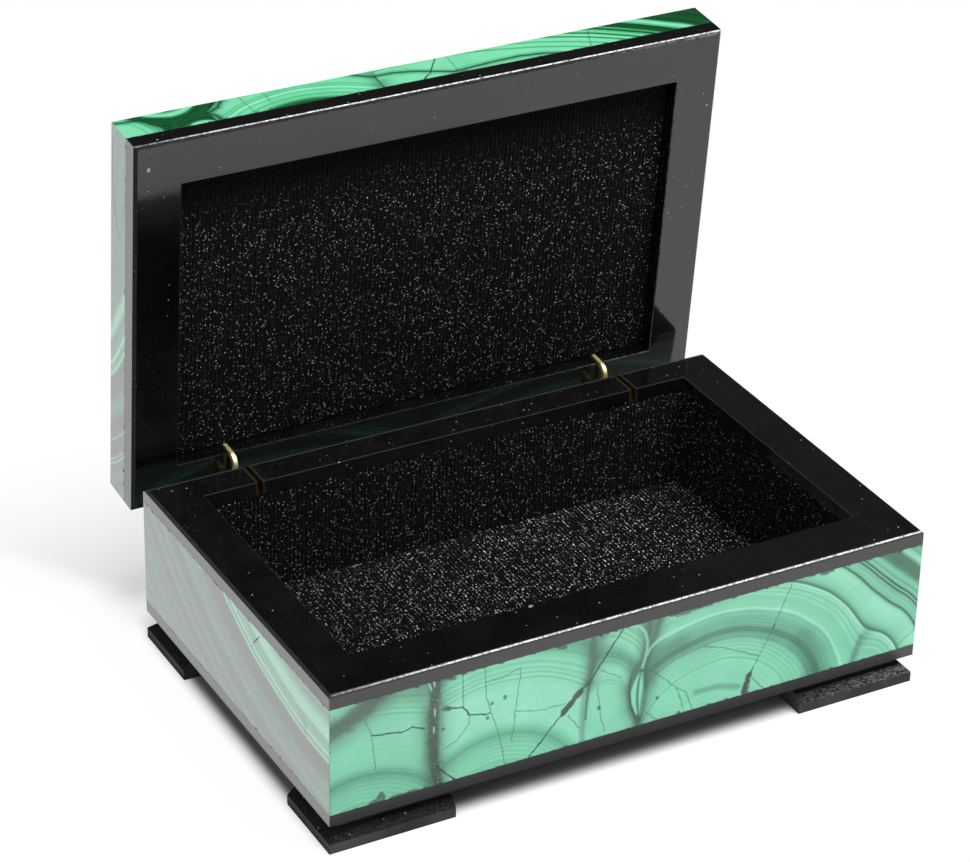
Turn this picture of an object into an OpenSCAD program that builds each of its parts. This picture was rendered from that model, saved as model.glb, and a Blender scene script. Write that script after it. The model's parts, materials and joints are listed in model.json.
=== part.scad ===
// Stone jewelry box with a hinged lid: green banded slabs on black stone,
// lined with black velvet, on four bevelled feet.
// Millimetres. The origin is the middle of the footprint, on the surface that the box stands on.
// X runs to the right, Y to the back and Z up. The lid is drawn open, against its stop.

/* [Box] */
// Width of the box, left to right
box_w = 160; // [140:0.5:200]
// Depth of the box, front to back
box_d = 103; // [94:0.5:140]
// Thickness of the black base plate
base_t = 3; // [2:0.1:6]
// Height of the green slabs round the box
side_h = 28.8; // [24:0.1:45]
// Thickness of all the green slabs
slab_t = 3; // [2:0.1:4]

/* [Rim] */
// Thickness of the black rim plate
rim_t = 3.8; // [3.4:0.1:6]
// Width of the rim at the left and right
rim_side = 11.7; // [8:0.1:20]
// Width of the rim at the front
rim_front = 13.4; // [8:0.1:20]
// Width of the rim at the back, where the hinges are
rim_back = 10.4; // [9:0.1:14]
// Chamfer on the outer top edge at the front and the sides
rim_chamfer = 0.7; // [0.3:0.1:1.5]
// Run of the chamfer on the back top edge
back_run = 2.4; // [1:0.1:4]
// Drop of the chamfer on the back top edge
back_drop = 1.2; // [0.5:0.1:2]
// Arris along the edges of the rim's and the lid frame's opening
arris = 0.2; // [0.1:0.05:0.4]

/* [Feet] */
// Height of a foot
foot_h = 7.7; // [5.5:0.1:12]
// Length of a foot along the front
foot_w = 32.7; // [20:0.1:50]
// Length of a foot along the side
foot_d = 22.3; // [14:0.1:40]
// Height of the upright face at the bottom of a foot
foot_face = 2.6; // [1:0.1:3.2]
// Run and rise of the bevel above that face
foot_bevel = 2; // [1:0.1:2.2]
// Set-back of the neck between the bevel and the base plate
neck_inset = 3.2; // [2.3:0.1:6]

/* [Lining] */
// Thickness of the velvet panels on the walls and in the lid
lining_t = 1.2; // [0.8:0.1:2]
// Thickness of the velvet panel on the floor
floor_t = 2; // [1:0.1:4]

/* [Lid] */
// Thickness of the lid, from its joint face to its top
lid_t = 14.2; // [12.5:0.1:20]
// Thickness of the black frame round the lid's recess
frame_t = 5; // [4:0.1:6]
// Width of that frame at the left and right
frame_side = 12.1; // [8:0.1:20]
// Width of that frame at the front
frame_front = 12.2; // [8:0.1:20]
// Width of that frame at the back
frame_back = 10.8; // [10:0.1:14]
// Chamfer on the outer joint edges of that frame
frame_chamfer = 0.8; // [0.3:0.1:1.5]
// Bevel on the edges of the lid's top
top_bevel = 0.6; // [0.2:0.1:1.2]
// Gap between the rim and the closed lid
lid_gap = 0.15; // [0.05:0.05:0.5]

/* [Hinges] */
// Distance of each hinge from the nearer end of the box
hinge_end = 26.8; // [22:0.1:45]
// Depth of the pivots below the top of the rim
hinge_drop = 9.4; // [8:0.1:12]
// Distance of the pivots from the back of the box
hinge_inset = 2.4; // [2.2:0.1:2.7]
// Angle to which the lid opens
open_angle = 85; // [70:1:95]
// Thickness of a hinge arm
arm_t = 1; // [0.6:0.1:2]
// Width of the strip that a hinge arm is bent from
arm_w = 1.4; // [1:0.1:1.6]
// Radius of its two bends, along the middle of the strip
arm_bend = 2.5; // [1.5:0.1:3]
// Length of the arm's end that is let into the lid
tenon_l = 3; // [1.5:0.1:4]
// Outer radius of the eye at the pivot
eye_r = 1.3; // [1.1:0.05:1.4]
// Diameter of the hinge pins
pin_d = 1.2; // [0.8:0.05:1.4]
// Thickness of the cheeks and the web of a hinge channel
cheek_t = 0.5; // [0.3:0.05:1]
// Set-back of a hinge channel from the back of the box
channel_inset = 0.3; // [0.1:0.05:0.4]

/* [Clearances] */
// Radial play of an eye on its pin
pin_play = 0.05; // [0.02:0.01:0.1]
// Radial clearance of a pin in its cheeks
pin_seat = 0.01; // [0.01:0.005:0.02]
// Play between an arm and each cheek
side_play = 0.05; // [0.02:0.01:0.2]
// Room round an arm where it swings
arm_play = 0.3; // [0.15:0.05:0.5]
// Gap left at the stop of the open lid
stop_gap = 0.05; // [0.02:0.01:0.15]

/* [Hidden] */
$fn = 64;
black_stone = "#1b1b1e";
green_stone = "#4aa37c";
black_velvet = "#0e0e10";
gold_brass = "#c8a24c";

// Levels, from the floor up
base_z = foot_h;
wall_z = base_z + base_t;
rim_z = wall_z + side_h;
rim_top = rim_z + rim_t;
joint_z = rim_top + lid_gap;
core_z = joint_z + frame_t;
lid_top = joint_z + lid_t;

// Outer faces, and the opening of the rim
half_w = box_w / 2;
half_d = box_d / 2;
hinge_x = half_w - hinge_end;
open_x = half_w - rim_side;
open_front = -half_d + rim_front;
open_back = half_d - rim_back;

// Recess of the lid
recess_x = half_w - frame_side;
recess_front = -half_d + frame_front;
recess_back = half_d - frame_back;

// Hinge section: u runs from the back of the box to the front, v up from the top of the rim
pin_r = pin_d / 2;
pivot = [hinge_inset, -hinge_drop];
pivot_at = [0, half_d - hinge_inset, rim_top - hinge_drop];
run_v = -rim_t + cheek_t + arm_play + arm_w / 2;
tab_u = frame_back - arm_w / 2;
tab_v = run_v + arm_bend;
tenon_v = lid_gap + frame_t + tenon_l;
channel_w = arm_t + 2 * side_play + 2 * cheek_t;
channel_front = hinge_inset + arm_bend + cheek_t;
channel_low = -hinge_drop - eye_r - arm_play - cheek_t;

// The stop: the level of the strip's underside over the channel's back lip when the lid is open
lip_u = channel_inset + cheek_t;
lean = 90 - open_angle;
stop_v = -hinge_drop + (hinge_inset - lip_u) * tan(lean) - arm_w / 2 / cos(lean) - stop_gap;

// The notch in the lid's frame clears the strip, and its upper bend where that reaches past the joint
bend_in = arm_bend - arm_w / 2;
bend_up = max(0, tab_v - lid_gap);
bend_sag = bend_in - sqrt(max(0, bend_in * bend_in - bend_up * bend_up));
notch_u = frame_back - arm_w - bend_sag - arm_play;

SIDES = [-1, 1];

// A block between two corners
module block(low, high) {
    translate(low) cube(high - low);
}

// A section in x and z, drawn out along Y
module along_y(from, to) {
    translate([0, to, 0]) rotate([90, 0, 0]) linear_extrude(to - from) children();
}

// A section in y and z, drawn out along X
module along_x(from, to) {
    translate([from, 0, 0]) rotate([90, 0, 90]) linear_extrude(to - from) children();
}

// A section in u and v at a hinge, as thick as t
module hinge_slice(x, t) {
    along_x(x - t / 2, x + t / 2) translate([half_d, rim_top]) mirror([1, 0]) children();
}

// The pieces of the lid are placed shut and then swung open about the pins
module opened() {
    translate(pivot_at) rotate([-open_angle, 0, 0]) translate(-pivot_at) children();
}

// The section of a plate with its two upper edges cut back
function cut_above(low, high, z0, z1, run0, drop0, run1, drop1) = [
    [low, z0], [high, z0], [high, z1 - drop1], [high - run1, z1], [low + run0, z1], [low, z1 - drop0]
];

// The section of a plate with its two lower edges cut back
function cut_below(low, high, z0, z1, cut) = [
    [low + cut, z0], [high - cut, z0], [high, z0 + cut], [high, z1], [low, z1], [low, z0 + cut]
];

// The section of an opening that flares to one face; step points into that face
function flared(low, high, z_deep, z_face, flare, step) = [
    [low, z_deep], [high, z_deep], [high, z_face - step * flare],
    [high + 2 * flare, z_face + step * flare], [low - 2 * flare, z_face + step * flare],
    [low, z_face - step * flare]
];

// An opening through a plate, with an arris round its mouth
module mouth(x, front, back, z_deep, z_face, step) {
    intersection() {
        along_y(front - 2 * arris, back + 2 * arris)
            polygon(flared(-x, x, z_deep, z_face, arris, step));
        along_x(-x - 2 * arris, x + 2 * arris)
            polygon(flared(front, back, z_deep, z_face, arris, step));
    }
}

// The plan of an upright slab, mitred at both ends: face is its outer face, length runs along that
module mitred_plan(face, length) {
    polygon([[-length / 2, face], [length / 2, face],
             [length / 2 - slab_t, face - sign(face) * slab_t],
             [slab_t - length / 2, face - sign(face) * slab_t]]);
}

// An upright slab of the box at the front (-1) or the back (1)
module box_slab_long(side) {
    translate([0, 0, wall_z]) linear_extrude(side_h) mitred_plan(side * half_d, box_w);
}

// An upright slab of the box at the left (-1) or the right (1)
module box_slab_short(side) {
    translate([0, 0, wall_z]) linear_extrude(side_h)
        rotate(-90) mitred_plan(side * half_w, box_d);
}

// The section of a lid slab: mitred to the top slab, with half of the edge's bevel
function lid_slab_section(face) = [
    [face, core_z], [face - sign(face) * slab_t, core_z],
    [face - sign(face) * slab_t, lid_top - slab_t],
    [face - sign(face) * top_bevel / 2, lid_top - top_bevel / 2], [face, lid_top - top_bevel]
];

module lid_slab_long(side) {
    intersection() {
        translate([0, 0, core_z]) linear_extrude(lid_t) mitred_plan(side * half_d, box_w);
        along_x(-half_w, half_w) polygon(lid_slab_section(side * half_d));
    }
}

module lid_slab_short(side) {
    intersection() {
        translate([0, 0, core_z]) linear_extrude(lid_t)
            rotate(-90) mitred_plan(side * half_w, box_d);
        along_y(-half_d, half_d) polygon(lid_slab_section(side * half_w));
    }
}

// The section of the lid's top slab, mitred to the slabs round it
function top_section(half) = [
    [slab_t - half, lid_top - slab_t], [half - slab_t, lid_top - slab_t],
    [half - top_bevel / 2, lid_top - top_bevel / 2], [half - top_bevel, lid_top],
    [top_bevel - half, lid_top], [top_bevel / 2 - half, lid_top - top_bevel / 2]
];

// The section of a foot: an upright face, a bevel and a neck set back under the base plate
function foot_section(face, length) = [
    [face, 0], [face, foot_face],
    [face - sign(face) * foot_bevel, foot_face + foot_bevel],
    [face - sign(face) * neck_inset, foot_face + foot_bevel],
    [face - sign(face) * neck_inset, foot_h],
    [face - sign(face) * length, foot_h], [face - sign(face) * length, 0]
];

module foot(side_x, side_y) {
    color(black_stone) intersection() {
        along_y(-half_d, half_d) polygon(foot_section(side_x * half_w, foot_w));
        along_x(-half_w, half_w) polygon(foot_section(side_y * half_d, foot_d));
    }
}

// The outline of a hinge channel: a leg across the rim and a leg down the back wall
module channel_outline() {
    polygon([
        [channel_inset, channel_low],
        [channel_inset, -back_drop * (1 - channel_inset / back_run)],
        [back_run, 0], [rim_back, 0], [rim_back, -rim_t],
        [channel_front, -rim_t], [channel_front, channel_low]
    ]);
}

// The room inside a hinge channel: open at the top, to the back and to the inside of the box
module channel_room() {
    polygon([
        [-arm_play, arm_play], [rim_back + arm_play, arm_play],
        [rim_back + arm_play, -rim_t + cheek_t], [channel_front - cheek_t, -rim_t + cheek_t],
        [channel_front - cheek_t, channel_low + cheek_t], [lip_u, channel_low + cheek_t],
        [lip_u, stop_v], [-arm_play, stop_v]
    ]);
}

// The slots for the hinge channels through the rim, the back wall and the back slab
module channel_slots() {
    for (side = SIDES) hinge_slice(side * hinge_x, channel_w) polygon([
        [-arm_play, channel_low], [-arm_play, arm_play], [rim_back + arm_play, arm_play],
        [rim_back + arm_play, -rim_t], [channel_front, -rim_t], [channel_front, channel_low]
    ]);
}

// A quarter of a bend in the strip of a hinge arm
module bend(turn) {
    intersection() {
        difference() {
            circle(r = arm_bend + arm_w / 2);
            circle(r = arm_bend - arm_w / 2);
        }
        rotate(turn) square(arm_bend + arm_w);
    }
}

// The arm is cranked: an eye on the pin, a leg up, a run through the rim and a tenon in the lid
module arm_outline() {
    difference() {
        union() {
            translate(pivot) circle(r = eye_r);
            translate([hinge_inset - arm_w / 2, -hinge_drop])
                square([arm_w, hinge_drop + run_v - arm_bend]);
            translate([hinge_inset + arm_bend, run_v - arm_bend]) bend(90);
            translate([hinge_inset + arm_bend, run_v - arm_w / 2])
                square([tab_u - hinge_inset - 2 * arm_bend, arm_w]);
            translate([tab_u - arm_bend, tab_v]) bend(270);
            translate([tab_u - arm_w / 2, tab_v]) square([arm_w, tenon_v - tab_v]);
        }
        translate(pivot) circle(r = pin_r + pin_play);
    }
}

module hinge_channel(side) {
    color(gold_brass) difference() {
        hinge_slice(side * hinge_x, channel_w) channel_outline();
        hinge_slice(side * hinge_x, arm_t + 2 * side_play) channel_room();
        hinge_bore(side, pin_r + pin_seat, 2 * channel_w);
    }
}

module hinge_bore(side, r, length) {
    translate(pivot_at + [side * hinge_x, 0, 0]) rotate([0, 90, 0])
        cylinder(r = r, h = length, center = true);
}

module hinge_pin(side) {
    color(gold_brass) hinge_bore(side, pin_r, channel_w);
}

module hinge_arm(side) {
    color(gold_brass) opened() hinge_slice(side * hinge_x, arm_t) arm_outline();
}

module base_plate() {
    color(black_stone) block([-half_w, -half_d, base_z], [half_w, half_d, wall_z]);
}

// The black walls stand on the base plate, between the slabs and the velvet
module wall_front() {
    color(black_stone) block(
        [slab_t - half_w, slab_t - half_d, wall_z],
        [half_w - slab_t, open_front - lining_t, rim_z]
    );
}

module wall_back() {
    color(black_stone) difference() {
        block(
            [slab_t - half_w, open_back + lining_t, wall_z],
            [half_w - slab_t, half_d - slab_t, rim_z]
        );
        channel_slots();
    }
}

module wall_end(side) {
    color(black_stone) along_y(open_front - lining_t, open_back + lining_t) polygon([
        [side * (half_w - slab_t), wall_z], [side * (open_x + lining_t), wall_z],
        [side * (open_x + lining_t), rim_z], [side * (half_w - slab_t), rim_z]
    ]);
}

module slab_front() {
    color(green_stone) box_slab_long(-1);
}

module slab_back() {
    color(green_stone) difference() {
        box_slab_long(1);
        channel_slots();
    }
}

module slab_end(side) {
    color(green_stone) box_slab_short(side);
}

// The rim is one plate, apart from the stretch that the saw cuts for the hinges leave between them
module rim_plate() {
    color(black_stone) difference() {
        intersection() {
            along_y(-half_d, half_d) polygon(cut_above(
                -half_w, half_w, rim_z, rim_top, rim_chamfer, rim_chamfer, rim_chamfer, rim_chamfer));
            along_x(-half_w, half_w) polygon(cut_above(
                -half_d, half_d, rim_z, rim_top, rim_chamfer, rim_chamfer, back_run, back_drop));
        }
        mouth(open_x, open_front, open_back, rim_z - arris, rim_top, 1);
        block([-hinge_x - channel_w / 2, 0, rim_z - arris],
              [hinge_x + channel_w / 2, box_d, rim_top + arris]);
    }
}

// That stretch, with the section of the rim at the back
module rim_back_strip() {
    color(black_stone) along_x(channel_w / 2 - hinge_x, hinge_x - channel_w / 2) polygon([
        [open_back, rim_z], [half_d, rim_z], [half_d, rim_top - back_drop], [half_d - back_run, rim_top],
        [open_back + arris, rim_top], [open_back, rim_top - arris]
    ]);
}

module floor_lining() {
    color(black_velvet) block([-open_x, open_front, wall_z], [open_x, open_back, wall_z + floor_t]);
}

module lining_front() {
    color(black_velvet) block(
        [-open_x - lining_t, open_front - lining_t, wall_z], [open_x + lining_t, open_front, rim_z]
    );
}

module lining_back() {
    color(black_velvet) block(
        [-open_x - lining_t, open_back, wall_z], [open_x + lining_t, open_back + lining_t, rim_z]
    );
}

module lining_end(side) {
    color(black_velvet) along_y(open_front, open_back) polygon([
        [side * open_x, wall_z], [side * (open_x + lining_t), wall_z],
        [side * (open_x + lining_t), rim_z], [side * open_x, rim_z]
    ]);
}

module lid_frame() {
    color(black_stone) opened() difference() {
        intersection() {
            along_y(-half_d, half_d)
                polygon(cut_below(-half_w, half_w, joint_z, core_z, frame_chamfer));
            along_x(-half_w, half_w)
                polygon(cut_below(-half_d, half_d, joint_z, core_z, frame_chamfer));
        }
        mouth(recess_x, recess_front, recess_back, core_z + arris, joint_z, -1);
        for (side = SIDES) hinge_slice(side * hinge_x, channel_w) polygon([
            [notch_u, 0], [frame_back + arm_play, 0],
            [frame_back + arm_play, lid_gap + frame_t + arm_play], [notch_u, lid_gap + frame_t + arm_play]
        ]);
    }
}

module lid_core() {
    color(black_stone) opened() difference() {
        block([slab_t - half_w, slab_t - half_d, core_z],
              [half_w - slab_t, half_d - slab_t, lid_top - slab_t]);
        for (side = SIDES) hinge_slice(side * hinge_x, arm_t)
            translate([tab_u - arm_w / 2, 0]) square([arm_w, tenon_v]);
    }
}

module lid_slab_top() {
    color(green_stone) opened() intersection() {
        along_y(-half_d, half_d) polygon(top_section(half_w));
        along_x(-half_w, half_w) polygon(top_section(half_d));
    }
}

module lid_lining() {
    color(black_velvet) opened() block(
        [-recess_x, recess_front, core_z - lining_t], [recess_x, recess_back, core_z]
    );
}

base_plate();
wall_front();
wall_back();
wall_end(-1);  // wall_left
wall_end(1);  // wall_right
slab_front();
slab_back();
slab_end(-1);  // slab_left
slab_end(1);  // slab_right
rim_plate();
rim_back_strip();
foot(-1, -1);  // foot_front_left
foot(1, -1);  // foot_front_right
foot(-1, 1);  // foot_back_left
foot(1, 1);  // foot_back_right
floor_lining();
lining_front();
lining_back();
lining_end(-1);  // lining_left
lining_end(1);  // lining_right
hinge_channel(-1);  // hinge_channel_left
hinge_channel(1);  // hinge_channel_right
hinge_pin(-1);  // hinge_pin_left
hinge_pin(1);  // hinge_pin_right
lid_frame();
lid_core();
color(green_stone) opened() lid_slab_long(-1);  // lid_slab_front
color(green_stone) opened() lid_slab_long(1);  // lid_slab_back
color(green_stone) opened() lid_slab_short(-1);  // lid_slab_left
color(green_stone) opened() lid_slab_short(1);  // lid_slab_right
lid_slab_top();
lid_lining();
hinge_arm(-1);  // hinge_arm_left
hinge_arm(1);  // hinge_arm_right
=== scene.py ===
# %% [markdown]
# # A stone jewelry box, dressed for its portrait
# The real box is made of thin slabs of malachite and plates of black stone, glued, ground flush and
# polished, with ribbed black velvet inside and two small brass hinges. All the stone and brass solids
# come ready from the imported model. This lesson gives every one of them its finish, and makes the
# velvet as real ribbed panels. We start with the frame.

# %% Load the imported model
import json
from math import cos, pi, radians, sin

import bpy
import numpy as np
from mathutils import Matrix, Vector


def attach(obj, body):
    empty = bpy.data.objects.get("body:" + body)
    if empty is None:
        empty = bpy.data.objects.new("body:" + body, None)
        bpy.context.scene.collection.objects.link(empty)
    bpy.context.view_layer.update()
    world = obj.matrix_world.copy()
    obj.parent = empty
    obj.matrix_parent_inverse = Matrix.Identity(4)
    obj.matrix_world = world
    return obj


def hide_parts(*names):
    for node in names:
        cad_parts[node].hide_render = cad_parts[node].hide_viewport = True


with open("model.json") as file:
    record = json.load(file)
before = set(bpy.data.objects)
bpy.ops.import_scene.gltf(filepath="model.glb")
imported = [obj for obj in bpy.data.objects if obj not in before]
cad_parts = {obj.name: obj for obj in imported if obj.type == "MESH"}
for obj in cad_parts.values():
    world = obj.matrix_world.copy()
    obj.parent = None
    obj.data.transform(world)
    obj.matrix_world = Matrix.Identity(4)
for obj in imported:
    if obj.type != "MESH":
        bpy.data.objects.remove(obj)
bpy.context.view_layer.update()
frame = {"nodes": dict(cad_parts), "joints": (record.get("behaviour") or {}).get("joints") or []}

MM = 0.001
nodes = frame["nodes"]

# %% [markdown]
# The lid stands open in the model, but its stone was cut and polished flat. To draw a pattern on it,
# or to lay velvet in it, we think of the lid as shut. The hinge in the record gives the turn between
# the two states, so nothing has to be measured by eye.

# %% The turn between the shut and the open lid
hinge = frame["joints"][0]
pivot = Vector(hinge["pos_m"])
closing_angle = radians(hinge["range_deg"][1])
shut_to_open = (Matrix.Translation(pivot) @ Matrix.Rotation(-closing_angle, 4, "X")
                @ Matrix.Translation(-pivot))
print("the lid turns", hinge["range_deg"][1], "degrees about", tuple(pivot))

# %% [markdown]
# ## The camera
# A product photo like this is taken with a long lens from some way off, so the box's edges stay nearly
# parallel. The camera's turn, rise and roll were found by lining up the corners of the box with the
# photograph. A rotation matrix is built from three directions: right, up, and back towards the camera.

# %% Camera at the photograph's viewing angle
camera_turn = radians(-29.086)
camera_rise = radians(29.376)
camera_roll = radians(1.308)
camera_distance = 875.578 * MM
origin_right_of_middle = 10.319 * MM
origin_above_middle = -56.631 * MM
focal_length_mm = 130.485
sensor_width_mm = 36
near_limit = 10 * MM

back = Vector((sin(camera_turn) * cos(camera_rise), -cos(camera_turn) * cos(camera_rise), sin(camera_rise)))
level_right = Vector((0, 0, 1)).cross(back).normalized()
level_up = back.cross(level_right)
right = cos(camera_roll) * level_right + sin(camera_roll) * level_up
up = back.cross(right)

camera_data = bpy.data.cameras.new("portrait_camera")
camera_data.lens = focal_length_mm
camera_data.sensor_width = sensor_width_mm
camera_data.sensor_fit = "HORIZONTAL"
camera_data.clip_start = near_limit
camera = bpy.data.objects.new("portrait_camera", camera_data)
bpy.context.scene.collection.objects.link(camera)
place = back * camera_distance - right * origin_right_of_middle - up * origin_above_middle
camera.matrix_world = Matrix.Translation(place) @ Matrix((right, up, back)).transposed().to_4x4()
bpy.context.scene.camera = camera
print("camera at", [round(c, 3) for c in place], "lens", focal_length_mm, "mm")

# %% [markdown]
# ## Two helpers for every finish
# Colours are written the way a painter's chart gives them, as sRGB hex, and one function turns them
# into the linear numbers that the renderer adds up. A second function adds one node to a material,
# sets it up, feeds its sockets and hands back the output that the next node needs.

# %% Colour and node helpers
def linear(hex_colour):
    """An sRGB hex colour as a linear colour with full alpha."""
    parts = [int(hex_colour[i:i + 2], 16) / 255 for i in (1, 3, 5)]
    return tuple(p / 12.92 if p <= 0.04045 else ((p + 0.055) / 1.055) ** 2.4 for p in parts) + (1.0,)


def add(tree, kind, feeds=None, out=0, **settings):
    """Adds a node. Feeds are values or other nodes' outputs by socket. Returns one output, or the node."""
    node = tree.nodes.new("ShaderNode" + kind)
    for name, value in settings.items():
        setattr(node, name, value)
    for socket, value in (feeds or {}).items():
        if isinstance(value, bpy.types.NodeSocket):
            tree.links.new(value, node.inputs[socket])
        else:
            node.inputs[socket].default_value = value
    return node if out is None or not node.outputs else node.outputs[out]


def new_tree(owner):
    """An empty node tree for a material or a world."""
    owner.use_nodes = True
    owner.node_tree.nodes.clear()
    return owner.node_tree


def set_stops(ramp_node, stops):
    """Puts colour stops, given as place and linear colour, on a colour ramp."""
    ramp = ramp_node.color_ramp
    while len(ramp.elements) < len(stops):
        ramp.elements.new(1.0)
    for element, (place, colour) in zip(ramp.elements, stops):
        element.position = place
        element.color = colour


print("mid grey is", [round(c, 3) for c in linear("#808080")])

# %% [markdown]
# ## Floor and light
# The box stands on white paper in a small studio: one large soft light high at the front right, another
# overhead and a white wall behind the photographer, while the room behind the set is dark. The dark
# room matters: the rim of the box mirrors it and stays black. The floor is plain paper near the box, so
# it keeps the shadow, and turns into an even white away from it for the camera and for reflections.
# A flat round sheet is enough for it, because a studio's paper has no edge in the picture.

# %% A sheet of paper
floor_radius = 3.0
floor_corners = 64
floor_below = 0.05 * MM

floor_mesh = bpy.data.meshes.new("paper_floor")
floor_turns = [2 * pi * k / floor_corners for k in range(floor_corners)]
floor_points = [(floor_radius * cos(turn), floor_radius * sin(turn), -floor_below) for turn in floor_turns]
floor_mesh.from_pydata(floor_points, [], [tuple(range(floor_corners))])
floor = bpy.data.objects.new("paper_floor", floor_mesh)
bpy.context.scene.collection.objects.link(floor)
print("floor of radius", floor_radius, "m")

# %% [markdown]
# Uncoated paper is matt and white. The box shades it all round, most of all underneath, where it is seen
# between the feet. We measure how far a spot of the paper lies outside the box's footprint, and with that
# distance the paper goes over from plain matt, which takes shadows, to an even white.

# %% Paper that turns white away from the box
box_half_width, box_half_depth = 80.0, 51.5
seen_under_box_mm = (3.4, 7.0)
side_shadow_narrower = 3.5
paper_pale_from_mm = 21.0
paper_white_from_mm = 420.0
pale_share = 0.97

paper = bpy.data.materials.new("white_paper_uncoated")
tree = new_tree(paper)
here = add(tree, "VectorMath", {0: add(tree, "NewGeometry", out="Position"), "Scale": 1 / MM}, operation="SCALE")
spot = add(tree, "VectorMath", {0: here, 1: (1, 1, 0)}, operation="MULTIPLY")
spot = add(tree, "VectorMath", {0: spot}, operation="ABSOLUTE")
spot = add(tree, "VectorMath", {0: spot, 1: (box_half_width, box_half_depth, 0)}, operation="SUBTRACT")
lit = add(tree, "VectorMath", {0: spot, 1: (*seen_under_box_mm, 0)}, operation="ADD")
lit = add(tree, "VectorMath", {0: lit, 1: (0, 0, 0)}, operation="MAXIMUM")
lit = add(tree, "VectorMath", {0: lit, 1: (side_shadow_narrower, 1, 0)}, operation="MULTIPLY")
from_box = add(tree, "VectorMath", {0: lit}, out="Value", operation="LENGTH")
near_paper = add(tree, "MapRange", {"Value": from_box, "From Max": paper_pale_from_mm, "To Max": pale_share},
                 interpolation_type="SMOOTHSTEP")
far_paper = add(tree, "MapRange", {"Value": from_box, "From Min": paper_pale_from_mm,
                                   "From Max": paper_white_from_mm, "To Max": 1 - pale_share})
clear_paper = add(tree, "Math", {0: near_paper, 1: far_paper}, operation="ADD")
print("paper is pale from", paper_pale_from_mm, "mm and white from", paper_white_from_mm, "mm off the box")

# %% [markdown]
# The open lid throws a wide, soft shadow on the paper behind the box. There the paper keeps more of its
# matt share, by a list of depths behind the box, and the shadow spreads sideways as it goes back.

# %% The lid's soft shadow behind the box
lid_shadow_depths = [(3, 0.0), (20, 0.5), (25, 0.5), (33, 0.34), (60, 0.2), (100, 0.0)]
lid_shadow_edge_mm = (-6.0, 8.0)
lid_shadow_spreads_from_mm = 27.0
lid_shadow_spread = 0.6

off_box = add(tree, "SeparateXYZ", {0: spot}, out=None)
behind = add(tree, "Math", {0: add(tree, "SeparateXYZ", {0: here}, out="Y"), 1: 0.0}, operation="GREATER_THAN")
shadow_reach = lid_shadow_depths[-1][0]
depth = add(tree, "Math", {0: off_box.outputs["Y"], 1: shadow_reach}, operation="DIVIDE")
depth = add(tree, "ValToRGB", {0: depth}, out=None)
set_stops(depth, [(mm / shadow_reach, (share, share, share, 1.0)) for mm, share in lid_shadow_depths])
further = add(tree, "Math", {0: off_box.outputs["Y"], 1: lid_shadow_spreads_from_mm}, operation="SUBTRACT")
further = add(tree, "Math", {0: further, 1: 0.0}, operation="MAXIMUM")
aside = add(tree, "Math", {0: further, 1: -lid_shadow_spread, 2: off_box.outputs["X"]}, operation="MULTIPLY_ADD")
lid_shadow = add(tree, "MapRange", {"Value": aside, "From Min": lid_shadow_edge_mm[0],
                                    "From Max": lid_shadow_edge_mm[1], "To Min": 1.0, "To Max": 0.0},
                 interpolation_type="SMOOTHSTEP")
for part in (depth.outputs[0], behind):
    lid_shadow = add(tree, "Math", {0: lid_shadow, 1: part}, operation="MULTIPLY")
clear_paper = add(tree, "Math", {0: clear_paper, 1: lid_shadow}, operation="SUBTRACT")
print("the lid's shadow reaches", shadow_reach, "mm behind the box")

# %% [markdown]
# Paper is pressed from fibres and is a little cloudy against the light, some 15 mm from cloud to cloud.
# Close to the box the stone takes most of its light away, and there the paper's colour is also painted
# darker, down to half, as extra shade. The camera sees this matt paper with the even white mixed in.

# %% Paper as the camera sees it
paper_cloud_mm = 15.0
paper_greys = (0.90, 0.94)
painted_shade_reach_mm = 9.0
painted_shade_under_box = 0.5

light_path = add(tree, "LightPath", out=None)
clouds_across_floor = 2 * floor_radius / (paper_cloud_mm * MM)
clouds = add(tree, "TexNoise", {"Scale": clouds_across_floor, "Detail": 3.0})
paper_colour = add(tree, "MapRange", {"Value": clouds, "To Min": paper_greys[0], "To Max": paper_greys[1]})
# Painted shade: the paper's colour is darkened by up to half under the box, fading out over 9 mm.
painted_under_box = add(tree, "MapRange", {"Value": from_box, "From Max": painted_shade_reach_mm, "To Min": painted_shade_under_box})
paper_colour = add(tree, "Math", {0: paper_colour, 1: painted_under_box}, operation="MULTIPLY")
matte = add(tree, "BsdfDiffuse", {"Color": paper_colour})
white = add(tree, "Emission", {"Color": linear("#ffffff"), "Strength": 1.0})
white_share = add(tree, "Math", {0: light_path.outputs["Is Camera Ray"], 1: clear_paper}, operation="MULTIPLY")
seen_paper = add(tree, "MixShader", {0: white_share, 1: matte, 2: white})
print("clouds across the floor:", round(clouds_across_floor))

# %% [markdown]
# Polished stone mirrors the paper. In that mirror the paper greys towards the box, most of all in the
# lid's shadow behind it. A plain white there would make the black feet and the slabs far too pale.

# %% Paper as the polished stone mirrors it
front_grey_mm = (4.0, 15.0, 40.0)
front_greys = (0.06, 0.6, 1.0)
back_grey_to_mm = 160.0
back_grey_from = 0.08
side_grey_to_mm = 5.0

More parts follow.
